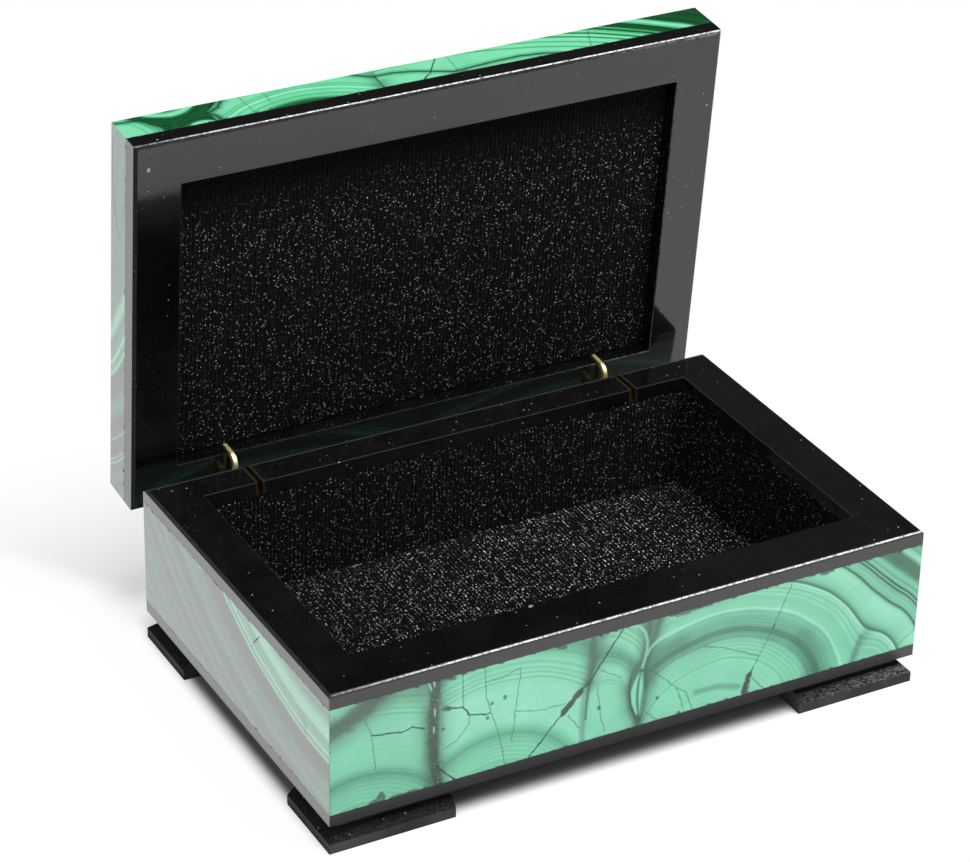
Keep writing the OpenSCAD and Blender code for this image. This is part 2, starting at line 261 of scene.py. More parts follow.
ways = add(tree, "VectorMath", {0: spot, 1: (0, 0, 0)}, operation="MAXIMUM")
ways = add(tree, "SeparateXYZ", {0: ways}, out=None)
front_grey = add(tree, "MapRange", {"Value": ways.outputs["Y"], "From Min": front_grey_mm[0],
                                    "From Max": front_grey_mm[1], "To Min": front_greys[0], "To Max": front_greys[1]})
further_off = add(tree, "MapRange", {"Value": ways.outputs["Y"], "From Min": front_grey_mm[1],
                                     "From Max": front_grey_mm[2], "To Max": front_greys[2] - front_greys[1]})
front_grey = add(tree, "Math", {0: front_grey, 1: further_off}, operation="ADD")
back_grey = add(tree, "MapRange", {"Value": ways.outputs["Y"], "From Max": back_grey_to_mm, "To Min": back_grey_from})
side_grey = add(tree, "MapRange", {"Value": ways.outputs["X"], "From Max": side_grey_to_mm})
mirrored = add(tree, "Mix", {0: behind, 2: front_grey, 3: back_grey})
mirrored = add(tree, "Math", {0: mirrored, 1: side_grey}, operation="MAXIMUM")
mirrored_paper = add(tree, "Emission", {"Color": linear("#ffffff"), "Strength": mirrored})
mirror_ray = add(tree, "Math", {0: light_path.outputs["Is Glossy Ray"], 1: light_path.outputs["Is Transmission Ray"]},
                 operation="MAXIMUM")
surface = add(tree, "MixShader", {0: mirror_ray, 1: seen_paper, 2: mirrored_paper})
add(tree, "OutputMaterial", {"Surface": surface})
floor_mesh.materials.append(paper)
print("paper material:", len(tree.nodes), "nodes")

# %% [markdown]
# The lights are large and soft, as behind frames of white cloth, so the polish shows broad, faint
# reflections and no hard spots. The room itself is brighter behind the camera than behind the set, and
# the camera sees plain white where the paper ends.

# %% Studio lights
def soft_light(name, place, aim, side, watts):
    """A square soft light at a place in metres, turned to a point."""
    data = bpy.data.lights.new(name, "AREA")
    data.shape = "SQUARE"
    data.size = side
    data.energy = watts
    lamp = bpy.data.objects.new(name, data)
    bpy.context.scene.collection.objects.link(lamp)
    lamp.location = place
    lamp.rotation_euler = (Vector(aim) - Vector(place)).to_track_quat("-Z", "Y").to_euler()
    return lamp


middle = (0, 0, 0.05)
soft_light("key_softbox", (0.30, -0.42, 1.05), middle, 0.55, 11.0)
soft_light("overhead_softbox", (0.0, -0.30, 1.15), middle, 0.8, 9.5)
soft_light("left_reflector", (-1.1, -0.35, 0.45), middle, 0.7, 2.5)

# %% The room around the set
room_behind_camera, room_behind_set = 0.28, 0.04
room_turns_dark = (-0.9, 0.1)

world = bpy.data.worlds.new("studio_room")
bpy.context.scene.world = world
tree = new_tree(world)
towards = add(tree, "SeparateXYZ", {0: add(tree, "TexCoord", out="Generated")}, out="Y")
room_light = add(tree, "MapRange", {"Value": towards, "From Min": room_turns_dark[0], "From Max": room_turns_dark[1],
                                    "To Min": room_behind_camera, "To Max": room_behind_set},
                 interpolation_type="SMOOTHSTEP")
room = add(tree, "Background", {"Color": linear("#ffffff"), "Strength": room_light})
plain_white = add(tree, "Background", {"Color": linear("#ffffff"), "Strength": 1.0})
camera_ray = add(tree, "LightPath", out="Is Camera Ray")
add(tree, "OutputWorld", {"Surface": add(tree, "MixShader", {0: camera_ray, 1: room, 2: plain_white})})
bpy.context.scene.view_settings.view_transform = "Standard"
print("room:", room_behind_camera, "behind the camera,", room_behind_set, "behind the set")

# %% [markdown]
# ## Malachite
# Malachite grows in domes, layer upon layer, each layer a little lighter or darker. A sawn slab cuts
# through the domes, and the layers show as curved bands, with dark veins where two domes met. We draw it
# the way it grew: each dome has a centre, a squeeze and a late start, the nearest dome owns a point, and
# the distance from its centre, in millimetres, is the layer. A curve turns layers into light and dark.
# An image of the stone would look right from one side only; a grown pattern fits every slab.

# %% Layers of the stone, from a dome's centre outwards: millimetres and tone
quiet_layers = [
    (8, .80), (16, .78), (18.4, .70), (18.9, .84), (19.4, .72), (20, .84), (20.5, .72), (21.1, .83),
    (21.6, .68), (22.1, .82), (22.6, .66), (23.3, .74), (24, .58), (24.8, .52), (25.6, .62), (26.8, .80),
    (28, .86), (35.5, .86), (37.6, .82), (37.9, .60), (38.2, .84), (38.8, .84), (39.1, .66), (39.4, .84),
    (40, .78), (40.3, .66), (40.7, .86), (41.4, .76), (41.8, .66), (42.2, .84), (43.4, .72), (44.4, .56),
    (46.8, .46), (48, .60), (49.5, .80), (56, .78)]
shaded_by = 0.08
shaded_layers = [(mm, tone - shaded_by) for mm, tone in quiet_layers]
calm_layers = [
    (8, .82), (16.6, .82), (17.2, .80), (17.5, .66), (17.9, .84), (18.3, .68), (18.7, .82), (19.3, .76),
    (20, .84), (22, .80), (23.6, .58), (25, .44), (26.4, .44), (27.4, .58), (28.6, .78), (29.8, .84),
    (30.6, .72), (31.2, .90), (31.9, .72), (32.5, .92), (33.2, .76), (34, .86), (36, .70), (40, .70)]
bold_layers = [
    (8, .82), (10.4, .82), (10.7, .74), (11.2, .82), (17.2, .82), (17.6, .62), (18, .82), (18.8, .80),
    (19.1, .70), (19.5, .84), (20.1, .70), (20.5, .84), (21.1, .68), (21.5, .82), (22, .66), (22.5, .74),
    (23.2, .56), (24, .46), (25, .40), (25.3, .20), (25.6, .40), (26, .24), (26.4, .46), (27.5, .52),
    (29.5, .60), (30.6, .66), (31.1, .92), (31.8, .80), (33.2, .76), (34.6, .72), (35, .84), (35.6, .72),
    (36.2, .82), (36.7, .68), (37.2, .84), (37.8, .80), (38.15, .98), (38.5, .14), (38.9, .44), (39.6, .66),
    (41, .82), (43.8, .86), (44.6, .80), (44.9, .14), (45.2, .14), (45.5, .72), (46, .60), (46.4, .76),
    (46.9, .58), (47.45, .66), (47.7, .04), (47.95, .04), (48.2, 1.0), (48.45, .04), (48.7, .04),
    (48.95, .62), (49.4, .72), (49.8, .48), (50.3, .68), (51.2, .60), (51.9, .28), (53, .18), (54.6, .22),
    (55.1, .62), (55.6, .88), (56.4, .78), (56.9, .50), (57.8, .60), (58.6, .30), (62, .24)]
print("layers in the boldest list:", len(bold_layers), "in the quiet one:", len(quiet_layers))

# %% Layers on the lid and on the left sides
lid_layers = [
    (36, .86), (43, .87), (43.4, .80), (43.7, .46), (44.2, .88), (45.6, .86), (46, .50), (46.5, .89),
    (47.8, .88), (48.4, .28), (48.9, .92), (49.6, .86), (50.2, .22), (50.7, .66), (51.1, .88), (51.8, .60),
    (52.4, .16), (52.9, .40), (53.3, .66), (53.8, .16), (55.8, .10), (56.4, .60), (57.3, .95), (58.2, .82),
    (58.8, .26), (59.4, .08), (61.4, .22), (62.4, .08), (64, .18), (66, .10)]
arch_layers = [
    (22, .22), (25.5, .26), (26.3, .46), (27, .78), (27.6, .84), (28.1, .60), (28.6, .84), (29.6, .86),
    (30, .70), (30.5, .86), (31.2, .98), (31.7, .66), (32.1, .84), (32.8, .70), (33.3, .86), (36, .84)]
corner_layers = [
    (0, .86), (9, .88), (9.6, .72), (10, .88), (11, .86), (11.6, .60), (12, .86), (12.6, .50), (13, .80),
    (13.8, .30), (14.6, .14), (18, .10), (20, .12)]
side_layers = [
    (40, .50), (43.5, .56), (45.3, .84), (47.5, .96), (48.8, .90), (49.4, .62), (52.3, .62), (52.55, .98),
    (52.95, 1.0), (53.3, .62), (54.2, .66), (54.55, .92), (54.95, .86), (55.3, .36), (56, .08), (59, .06),
    (61, .34), (63, .48), (65, .40), (67, .50), (69, .26), (70.5, .16), (72.4, .42), (72.8, .58),
    (73.2, .42), (75, .26), (77, .52), (79, .14), (81, .50), (83, .24), (86, .54), (87.5, .30), (88, .58),
    (88.6, .28), (91.5, .46), (92, .60), (92.6, .30), (95, .52), (97.5, .20), (100, .46)]
lid_side_layers = [(40, .46), (46.2, .48), (47.2, .84), (48.2, .96), (49, .80), (49.8, .46)] + side_layers[6:15] + [
    (58.6, .10), (60.3, .50), (61.6, .46), (63.4, .08), (65.8, .10), (66.2, .80), (66.6, .10), (69.2, .08),
    (69.6, .80), (70, .24), (70.5, .76), (70.9, .14), (73, .40), (75, .08), (77, .42), (79, .10)]
print("layers on the left side:", len(side_layers), "on the lid's left:", len(lid_side_layers))

# %% From layers to tones
malachite_tones = [(0.25, "#226a4b"), (0.5, "#4f997a"), (0.8, "#6fbe9c"), (1.0, "#9adfc3")]
lid_tones = [(0.25, "#0d5429"), (0.5, "#379260"), (0.8, "#5cbc8c"), (1.0, "#8ed9b4")]
side_tones = [(0.25, "#4b6356"), (0.5, "#578872"), (0.8, "#70c29f"), (1.0, "#9adfc3")]
deep_green, deepest_green, deep_brown = "#0a3d24", "#052a15", "#4a4643"


def layer_tone(tree, layer, layers):
    """Light or dark for a layer, from a list of layer and tone."""
    first, last = layers[0][0], layers[-1][0]
    place = add(tree, "MapRange", {"Value": layer, "From Min": first, "From Max": last})
    node = add(tree, "FloatCurve", {"Value": place}, out=None)
    points = node.mapping.curves[0].points
    while len(points) < len(layers):
        points.new(0.5, 0.5)
    for point, (mm, tone) in zip(points, layers):
        point.location = ((mm - first) / (last - first), tone)
        point.handle_type = "VECTOR"
    node.mapping.update()
    return node.outputs[0]


print("tones from", deep_green, "to", malachite_tones[-1][1])

# %% [markdown]
# Where two domes met, the layers of the one that was there first run on, and the other's stop. So each
# dome's claim to a point is its distance plus its late start, and the smallest claim wins. Its lead over
# the second smallest tells how near the meeting line is.

# %% Which dome owns a point
far_off_mm = 1e3


def grown_domes(tree, face, domes):
    """Layer in mm, number of the list of layers and lead over the next dome, for a point of a face."""
    nearest, next_nearest, own_offset, kind = far_off_mm, far_off_mm, 0.0, 0.0
    for (across, up), (squeeze_across, squeeze_up), late_start, first_layer, own_kind, run_in in domes:
        squeezed = add(tree, "VectorMath", {0: face, 1: (squeeze_across, squeeze_up, 0)}, operation="MULTIPLY")
        centre = (across * squeeze_across, up * squeeze_up, 0)
        reach = add(tree, "VectorMath", {0: squeezed, 1: centre}, out="Value", operation="DISTANCE")
        claim = add(tree, "Math", {0: reach, 1: late_start}, operation="ADD")
        owns = add(tree, "Math", {0: claim, 1: nearest}, operation="LESS_THAN")
        own_offset = add(tree, "Mix", {0: owns, 2: own_offset, 3: first_layer - late_start})
        kind = add(tree, "Mix", {0: owns, 2: kind, 3: own_kind})
        loser = add(tree, "Math", {0: claim, 1: nearest}, operation="MAXIMUM")
        next_nearest = add(tree, "Math", {0: loser, 1: next_nearest}, operation="MINIMUM")
        nearest = add(tree, "Math", {0: claim, 1: nearest, 2: run_in}, operation="SMOOTH_MIN")
    layer = add(tree, "Math", {0: nearest, 1: own_offset}, operation="ADD")
    return layer, kind, add(tree, "Math", {0: next_nearest, 1: nearest}, operation="SUBTRACT")


print("a dome is: centre, squeeze, late start, first layer, list of layers, run-in of its edge")

# %% [markdown]
# Polished malachite is a silky green with pale and dark bands. The bands bend in slow waves, as the domes
# did while they grew, and each is itself made of finer lines. The finest real lines are some tenths of a
# millimetre apart. Drawn so fine they would not show, so here they are 0.7 mm apart, and 2.4 mm on the
# left slabs, which are seen at a slant.

# %% Colour of the grown layers
wave_mm = 20.0
line_group_mm = 9.0
lines_fade_tones = (0.62, 0.84)
pale_lines_share = 0.1
cloud_mm = 7.0
cloud_strength = 0.14
even_layers_mm = (39.0, 42.0)
even_lead_mm = 5.0
valley_mm = (0.2, 3.2)
valley_strength = 0.5


def grown_colour(tree, face, domes, layers, deep, tones, fine, fine_mm, wander_mm, closes):
    """Colour of a point of a face, from the domes that grew there and their lists of layers."""
    wave = add(tree, "TexNoise", {"Vector": face, "Scale": 1 / wave_mm, "Detail": 2.0}, out="Color")
    wave = add(tree, "VectorMath", {0: wave, 1: (0.5, 0.5, 0.5)}, operation="SUBTRACT")
    bent = add(tree, "VectorMath", {0: wave, 1: (wander_mm, wander_mm, 0), 2: face}, operation="MULTIPLY_ADD")
    layer, kind, lead = grown_domes(tree, bent, domes)
    tone = layer_tone(tree, layer, layers[0])
    for number, own_layers in enumerate(layers[1:], 1):
        chosen = add(tree, "Math", {0: kind, 1: number, 2: 0.5}, operation="COMPARE")
        tone = add(tree, "Mix", {0: chosen, 2: tone, 3: layer_tone(tree, layer, own_layers)})

    # Fine lines follow the layers in groups; the palest stone has hardly any.
    lines = add(tree, "TexNoise", {"W": layer, "Scale": 1 / fine_mm, "Detail": 2.0, "Roughness": 0.6},
                noise_dimensions="1D")
    strength = add(tree, "TexNoise", {"W": layer, "Scale": 1 / line_group_mm, "Detail": 1.0}, noise_dimensions="1D")
    pale = add(tree, "MapRange", {"Value": tone, "From Min": lines_fade_tones[0], "From Max": lines_fade_tones[1],
                                  "To Min": fine, "To Max": fine * pale_lines_share})
    strength = add(tree, "Math", {0: strength, 1: pale}, operation="MULTIPLY")
    lines = add(tree, "Math", {0: lines, 1: 0.5}, operation="SUBTRACT")
    tone = add(tree, "Math", {0: lines, 1: strength, 2: tone}, operation="MULTIPLY_ADD")
    cloud = add(tree, "TexNoise", {"Vector": face, "Scale": 1 / cloud_mm, "Detail": 4.0})
    cloud = add(tree, "Math", {0: cloud, 1: 0.5}, operation="SUBTRACT")
    tone = add(tree, "Math", {0: cloud, 1: cloud_strength, 2: tone}, operation="MULTIPLY_ADD")
    ramp = add(tree, "ValToRGB", {0: tone}, out=None)
    set_stops(ramp, [(0.0, linear(deep))] + [(at, linear(shade)) for at, shade in tones])

    # A shallow dark valley where two domes meet; it may close in the even outer layers.
    settled = add(tree, "MapRange", {"Value": layer, "From Min": even_layers_mm[0], "From Max": even_layers_mm[1],
                                     "To Max": even_lead_mm if closes else 0.0})
    lead = add(tree, "Math", {0: settled, 1: lead}, operation="ADD")
    valley = add(tree, "MapRange", {"Value": lead, "From Min": valley_mm[0], "From Max": valley_mm[1],
                                    "To Min": valley_strength, "To Max": 0.0}, interpolation_type="SMOOTHSTEP")
    return add(tree, "Mix", {0: valley, 6: ramp.outputs[0], 7: linear("#2c5a43")}, out=2, data_type="RGBA")


print("layers bend in waves of", wave_mm, "mm, with clouds of", cloud_mm, "mm")

# %% [markdown]
# No slab is without faults: veins of darker stone, folds, cracks, glue that fills them, chips and small
# pits. Each is a line between points in millimetres, with one or more coats of a shade
# that fades out sideways. Drawn by its distance, a line is as sharp as we like, which a painted image
# would not be.

# %% Veins, folds, cracks and pits are lines between points
def off_lines(tree, face, lines):
    """Distance in mm from the nearest of some lines."""
    nearest = far_off_mm
    for line in lines:
        for (u0, v0), (u1, v1) in zip(line, line[1:]):
            run = Vector((u1 - u0, v1 - v0, 0))
            start = add(tree, "VectorMath", {0: face, 1: (u0, v0, 0)}, operation="SUBTRACT")
            along = add(tree, "VectorMath", {0: start, 1: run / run.length_squared}, out="Value",
                        operation="DOT_PRODUCT")
            along = add(tree, "Clamp", {0: along})
            foot = add(tree, "VectorMath", {0: run, "Scale": along}, operation="SCALE")
            off = add(tree, "VectorMath", {0: start, 1: foot}, out="Value", operation="DISTANCE")
            nearest = add(tree, "Math", {0: off, 1: nearest}, operation="MINIMUM")
    return nearest


# A mark's waver in mm, and its coats: half width and fade in mm, strength, shade, speck shade, share without polish.
mark_kinds = {
    "vein": (1.7, [(0.6, 6.0, .42, "#2f6149", "#2f6149", 0), (0.8, 2.4, .55, "#24523c", "#24523c", 0),
                   (0.6, 1.3, .80, "#182d22", "#6f8d7e", .4)]),
    "broad": (2.0, [(1.6, 6.0, .50, "#2f5a45", "#2f5a45", 0), (1.2, 2.6, .72, "#2b4437", "#4f6659", .3)]),
    "shade": (0.0, [(0.6, 4.0, .48, "#295a43", "#295a43", 0)]),
    "fold": (0.0, [(0.1, 4.5, .46, "#24573f", "#24573f", 0), (0.1, 1.8, .68, "#1d4a36", "#1d4a36", 0)]),
    "lens": (0.0, [(0.2, 0.42, .95, "#70c9a5", "#70c9a5", 0)]),
    "light": (0.0, [(0.1, 0.55, .60, "#84d2b1", "#84d2b1", 0)]),
    "seam": (0.4, [(0.1, 1.7, .62, "#0b5a31", "#0b5a31", 0), (0.08, 0.45, .80, "#07391e", "#07391e", 0)]),
    "faint": (0.5, [(0.1, 1.3, .45, "#2a5442", "#2a5442", 0)]),
    "thread": (0.0, [(0.05, 0.5, .70, "#163a29", "#163a29", .3)]),
    "crack": (0.9, [(0.08, 0.22, .92, "#0d1f16", "#1c3a2b", .7)]),
    "hairline": (0.9, [(0.04, 0.22, .62, "#155336", "#1f6545", .2)]),
    "filling": (1.8, [(0.62, 0.45, .92, "#1f3027", "#5b6f63", .6)]),
    "chip": (1.4, [(0.40, 0.35, .85, "#2a493a", "#5f8d78", .5)]),
    "fleck": (0.6, [(0.05, 0.30, .60, "#a9d4c0", "#a9d4c0", 0)]),
    "pit": (0.6, [(0.32, 0.32, .78, "#1a4a38", "#2c5a48", 0)])}
print("kinds of marks:", ", ".join(mark_kinds))

# %% Marks drawn on the stone
waver_pitch_mm = 1.6
grit_mm = 0.5
grit_range = (0.58, 0.68)


def draw_marks(tree, face, colour, marks):
    """Draws marks over a colour. They waver and hold specks; open ones have no polish. Returns colour and break."""
    waver = add(tree, "TexNoise", {"Vector": face, "Scale": 1 / waver_pitch_mm, "Detail": 2.0}, out="Color")
    waver = add(tree, "VectorMath", {0: waver, 1: (0.5, 0.5, 0.5)}, operation="SUBTRACT")
    grit = add(tree, "TexNoise", {"Vector": face, "Scale": 1 / grit_mm, "Detail": 2.0})
    grit = add(tree, "MapRange", {"Value": grit, "From Min": grit_range[0], "From Max": grit_range[1]})
    broken = 0.0
    for mark_kind, drawn in marks:
        waver_mm, coats = mark_kinds[mark_kind]
        torn = add(tree, "VectorMath", {0: waver, 1: (waver_mm, waver_mm, 0), 2: face}, operation="MULTIPLY_ADD")
        off = off_lines(tree, torn, drawn)
        for half_width, fade, opacity, shade, speck, unpolished in coats:
            mark = add(tree, "MapRange", {"Value": off, "From Min": half_width, "From Max": half_width + fade,
                                          "To Min": opacity, "To Max": 0.0}, interpolation_type="SMOOTHSTEP")
            filling = add(tree, "Mix", {0: grit, 6: linear(shade), 7: linear(speck)}, out=2, data_type="RGBA")
            colour = add(tree, "Mix", {0: mark, 6: colour, 7: filling}, out=2, data_type="RGBA")
            if unpolished:
                bare = add(tree, "Math", {0: mark, 1: unpolished}, operation="MULTIPLY")
                broken = add(tree, "Math", {0: bare, 1: broken}, operation="MAXIMUM")
    return colour, broken


print("specks in the marks:", grit_mm, "mm")

# %% [markdown]
# The slabs were sawn before they were glued, and a saw chips the edge of a brittle stone. The chips hold
# dark glue. They are drawn at the low and the high edge of a slab, from a tenth of a millimetre to a good
# millimetre deep.

# %% Chipped edges
chip_pitch_mm = 2.2
chip_range = (0.52, 0.8)
chip_depth_mm = (0.08, 1.2)
chip_fade_mm = (-0.08, 0.12)
chip_strength = 0.85


def chip_edges(tree, face, v, edges, colour, broken):
    """Dark chips along the low and the high edge of a slab. Returns colour and break."""
    low, high = edges
    chips = add(tree, "TexNoise", {"Vector": face, "Scale": 1 / chip_pitch_mm, "Detail": 4.0, "Roughness": 0.6})
    chips = add(tree, "MapRange", {"Value": chips, "From Min": chip_range[0], "From Max": chip_range[1],
                                   "To Min": chip_depth_mm[0], "To Max": chip_depth_mm[1]})
    inside = add(tree, "Math", {0: add(tree, "Math", {0: v, 1: low}, operation="SUBTRACT"),
                                1: add(tree, "Math", {0: high, 1: v}, operation="SUBTRACT")}, operation="MINIMUM")
    inside = add(tree, "Math", {0: inside, 1: chips}, operation="SUBTRACT")
    chipped = add(tree, "MapRange", {"Value": inside, "From Min": chip_fade_mm[0], "From Max": chip_fade_mm[1],
                                     "To Min": chip_strength, "To Max": 0.0})
    colour = add(tree, "Mix", {0: chipped, 6: colour, 7: linear("#16241c")}, out=2, data_type="RGBA")
    return colour, add(tree, "Math", {0: chipped, 1: broken}, operation="MAXIMUM")


print("chips up to", chip_depth_mm[1], "mm deep")

# %% [markdown]
# Malachite takes a fine polish, and a film of wax on top gives it the even gloss of the photograph. Its
# index of refraction is high for a stone, so it mirrors the paper well at a slant. Where the stone is
# broken it has neither polish nor wax.

# %% The polished malachite material
polish_cloud_mm = 6.0
polish_roughness = (0.10, 0.20)
broken_roughness = 0.8


def malachite(name, across, up, domes, layers, edges, marks=(), on_lid=False, deep=deep_green, tones=malachite_tones,
              fine=0.6, wax_film=1.0, wander_mm=1.8, closes=True, fine_mm=0.7):
    """Polished malachite for a slab. Across and up are directions of its face, edges its low and high side in mm."""
    material = bpy.data.materials.new(name)
    tree = new_tree(material)
    place = add(tree, "TexCoord", out="Object")
    if on_lid:
        place = add(tree, "VectorRotate", {"Vector": place, "Center": pivot, "Angle": closing_angle},
                    rotation_type="X_AXIS")
    place = add(tree, "VectorMath", {0: place, "Scale": 1 / MM}, operation="SCALE")
    u = add(tree, "VectorMath", {0: place, 1: across}, out="Value", operation="DOT_PRODUCT")
    v = add(tree, "VectorMath", {0: place, 1: up}, out="Value", operation="DOT_PRODUCT")
    face = add(tree, "CombineXYZ", {0: u, 1: v})
    colour = grown_colour(tree, face, domes, layers, deep, tones, fine, fine_mm, wander_mm, closes)
    colour, broken = draw_marks(tree, face, colour, marks)
    colour, broken = chip_edges(tree, face, v, edges, colour, broken)

    shine = add(tree, "TexNoise", {"Vector": face, "Scale": 1 / polish_cloud_mm, "Detail": 4.0})
    shine = add(tree, "MapRange", {"Value": shine, "To Min": polish_roughness[0], "To Max": polish_roughness[1]})
    shine = add(tree, "Mix", {0: broken, 2: shine, 3: broken_roughness})
    wax = add(tree, "Math", {0: broken, 1: -wax_film, 2: wax_film}, operation="MULTIPLY_ADD")
    shader = add(tree, "BsdfPrincipled", {"Base Color": colour, "Roughness": shine, "IOR": 1.66,
                                          "Coat Weight": wax, "Coat Roughness": 0.08, "Coat IOR": 1.6})
    add(tree, "OutputMaterial", {"Surface": shader})
    return material


print("polish between", polish_roughness[0], "and", polish_roughness[1], "rough")

# %% [markdown]
# The front slab is the one the photograph shows best: two quiet domes on the left, a narrow one in the
# middle, and on the right a bold one with thin dark and pale bands. Its domes, veins and cracks follow
# the photograph, in millimetres from the middle of the box and from the table.

# %% Domes, veins and folds of the front slab
front_domes = [
    ((-72, -10.7), (.90, .83), 0, 0, 3, 0), ((-37, -8), (.945, .90), 0, 0, 0, 0),
    ((-9, 8), (1.9, 1.0), 18.2, 0, 1, 0), ((22, 5), (.84, 1.0), 20, 0, 2, 0),
    ((66, 6), (1.0, .85), 48.6, 28.6, 2, 7), ((-86, 48), (1.0, 1.0), 22.3, 17, 0, 0)]
front_veins = [[(-53, 40), (-53.6, 30), (-53.4, 20), (-52.3, 10)]]
front_broad = [[(-83, 32), (-77, 34.2), (-72, 37), (-68, 40)]]
front_folds = [
    [(-11.8, 40), (-12.2, 33), (-12.6, 27)],
    [(3.4, 40), (3, 34), (1.9, 29.5), (-.6, 26), (-1.6, 21.5), (-.9, 16.5), (.7, 12.5), (1.4, 10)],
    [(6.2, 40), (4.6, 34.5), (2.9, 29.5), (2, 26), (2.6, 21.5), (2.2, 17), (1.3, 12)]]
front_lens = [
    [(1.2, 25.2), (.1, 23.3), (-.7, 20.8), (-.5, 17.6), (.6, 14.8)],
    [(1.2, 25.2), (.3, 23), (-.2, 20.6), (-.1, 17.6), (.8, 14.4)],
    [(1.8, 25.4), (2.05, 22.6), (2.1, 19.4), (1.8, 16), (1.5, 13.8)],
    [(1.8, 25.4), (1.5, 22.6), (1.4, 19.6), (1.5, 16.4), (1.5, 13.8)]]
front_light = [[(1.7, 26.8), (2.4, 29.5), (3.6, 31.6), (5.6, 33.4), (8.5, 34.7), (14, 35.5)],
               [(2.2, 28.5), (2.8, 31.5), (2.8, 34), (2.1, 36.6), (.6, 38.6), (-1.6, 39.6)]]
front_threads = [[(1.6, 26.4), (.8, 23), (.65, 19), (1.2, 13)], [(-12.6, 27), (-13.2, 20), (-13.3, 17)],
                 [(-1.2, 25), (-1.7, 21.5), (-1, 17), (.9, 12)], [(2, 26), (2.4, 21.5), (1.9, 16), (1.3, 12)]]
print("front:", len(front_domes), "domes,", len(front_folds), "folds,", len(front_threads), "threads")

# %% Cracks and fillings of the front slab
front_cracks = [
    [(-28.6, 10.5), (-20, 20)], [(-14, 26), (-12.4, 27.5), (-3.6, 39.8)], [(38.4, 28.6), (37.8, 27.2)],
    [(33, 17.6), (31.8, 15.5)], [(-69.3, 29.5), (-62, 28.2), (-60.3, 28.2), (-59, 28.9), (-56, 27.3)],
    [(-52.5, 16), (-50.5, 13.5), (-47.6, 10.6)],
    [(-50, 31), (-46.3, 30.3), (-45, 29), (-44.4, 27.6), (-40, 26.4), (-38.8, 26.6)]]
front_hairlines = [
    [(43, 39.8), (38.2, 28), (31.8, 15.5)], [(43, 39.8), (38.2, 28)],
    [(-71, 34), (-69.5, 30), (-68.3, 20)], [(-46.2, 40), (-46, 30.3)],
    [(-44.4, 27.6), (-44.3, 25.2), (-47.5, 21.5), (-51, 20)], [(-40.5, 40), (-40, 31), (-36.5, 20), (-34.5, 10.6)],
    [(-40.5, 35), (-36, 35.3), (-31, 36.5), (-32.2, 25), (-33, 17)],
    [(-32, 25), (-26, 23.2), (-19, 23)], [(4.6, 25.2), (11.3, 18.6), (13, 14.5), (13.8, 10.6)],
    [(11.3, 18.6), (14.2, 16.3), (16.4, 10.6)], [(18.5, 27.8), (24, 26), (34, 20.8)], [(-18, 19.5), (-15, 15)],
    [(75, 12), (80.5, 15.5)], [(3.4, 13.7), (6.5, 10.8)], [(32.4, 15.3), (36.3, 10.8)], [(-9.6, 29.5), (-4, 26)],
    [(-10.3, 25), (-9.3, 17), (-8, 12)]]
front_fillings = [[(-19.6, 20.4), (-17, 23), (-14.8, 25.4)], [(31.9, 15.8), (31.3, 13.4), (30.9, 11.2)],
                  [(31.1, 13), (30.8, 11.6)]]
print("front:", len(front_cracks), "cracks,", len(front_hairlines), "hairlines,", len(front_fillings), "fillings")

# %% Pits, chips and flecks of the front slab
front_pits = [
    [(-38.5, 28.9), (-38.4, 29)], [(-35.1, 29.5), (-35.1, 29.8)], [(-39.5, 25.2), (-39.6, 25.3)],
    [(-51, 25.8), (-51.1, 25.8)], [(-9.8, 18.8), (-9.7, 19.2)], [(6.3, 17), (6.3, 17.1)]]
front_chips = [
    [(9.2, 39.5), (11, 39.1), (13.5, 39), (15.5, 39.4), (20, 39.6)], [(51, 39.5), (52.4, 39), (54, 39.5)],
    [(-50.5, 39.2), (-48.5, 39)], [(-21, 39.2), (-19.6, 38.7)], [(-69.3, 10.8), (-67.8, 11.4)],
    [(-68, 11), (-66.8, 12.6)], [(-66.4, 10.8), (-66.5, 12.2)], [(-64, 10.7), (-61.5, 10.9)],
    [(-59.8, 10.9), (-58, 10.9)], [(-50.8, 31.2), (-49.6, 30.8)]]
front_shades = [[(3.6, 23), (4.2, 27), (7, 29.4), (12, 30.4)], [(-70, 39.2), (-63, 39.6), (-57.5, 38)],
                [(46.5, 22), (49.3, 17), (50.8, 11)]]
front_flecks = [[(-54.9, 39.4), (-54.2, 37.4)], [(-53.6, 39.4), (-53.4, 38)], [(-53.4, 32), (-53.2, 30)],
                [(-53.6, 27), (-53.5, 25.4)]]
front_faint = [[(61.6, 10.5), (62.6, 14), (63.8, 17.5)], [(17, 15.5), (23, 15.2), (29, 13.4)]]
corner_line = [(-80, 10), (-80, 41)]
print("front:", len(front_pits), "pits,", len(front_chips), "chips,", len(front_flecks), "flecks")

# %% The front slab
box_slab_mm = (10.7, 39.5)
front_marks = [
    ("shade", front_shades), ("vein", front_veins), ("broad", front_broad), ("fold", front_folds),
    ("light", front_light), ("lens", front_lens), ("thread", front_threads), ("faint", front_faint),
    ("hairline", front_hairlines + [corner_line]), ("crack", front_cracks), ("filling", front_fillings),
    ("chip", front_chips), ("fleck", front_flecks), ("pit", front_pits)]
malachite_front = malachite("malachite_polished_front", (1, 0, 0), (0, 0, 1), front_domes,
                            (quiet_layers, calm_layers, bold_layers, shaded_layers), box_slab_mm, front_marks,
                            wax_film=0.45)
print("front slab:", len(malachite_front.node_tree.nodes), "nodes")

# %% [markdown]
# The left slab shows one great dome cut far from its centre: long slanting bands of grey green and brown
# with two bright ones. It is seen at a slant, so the paper's reflection lies over it like a veil.

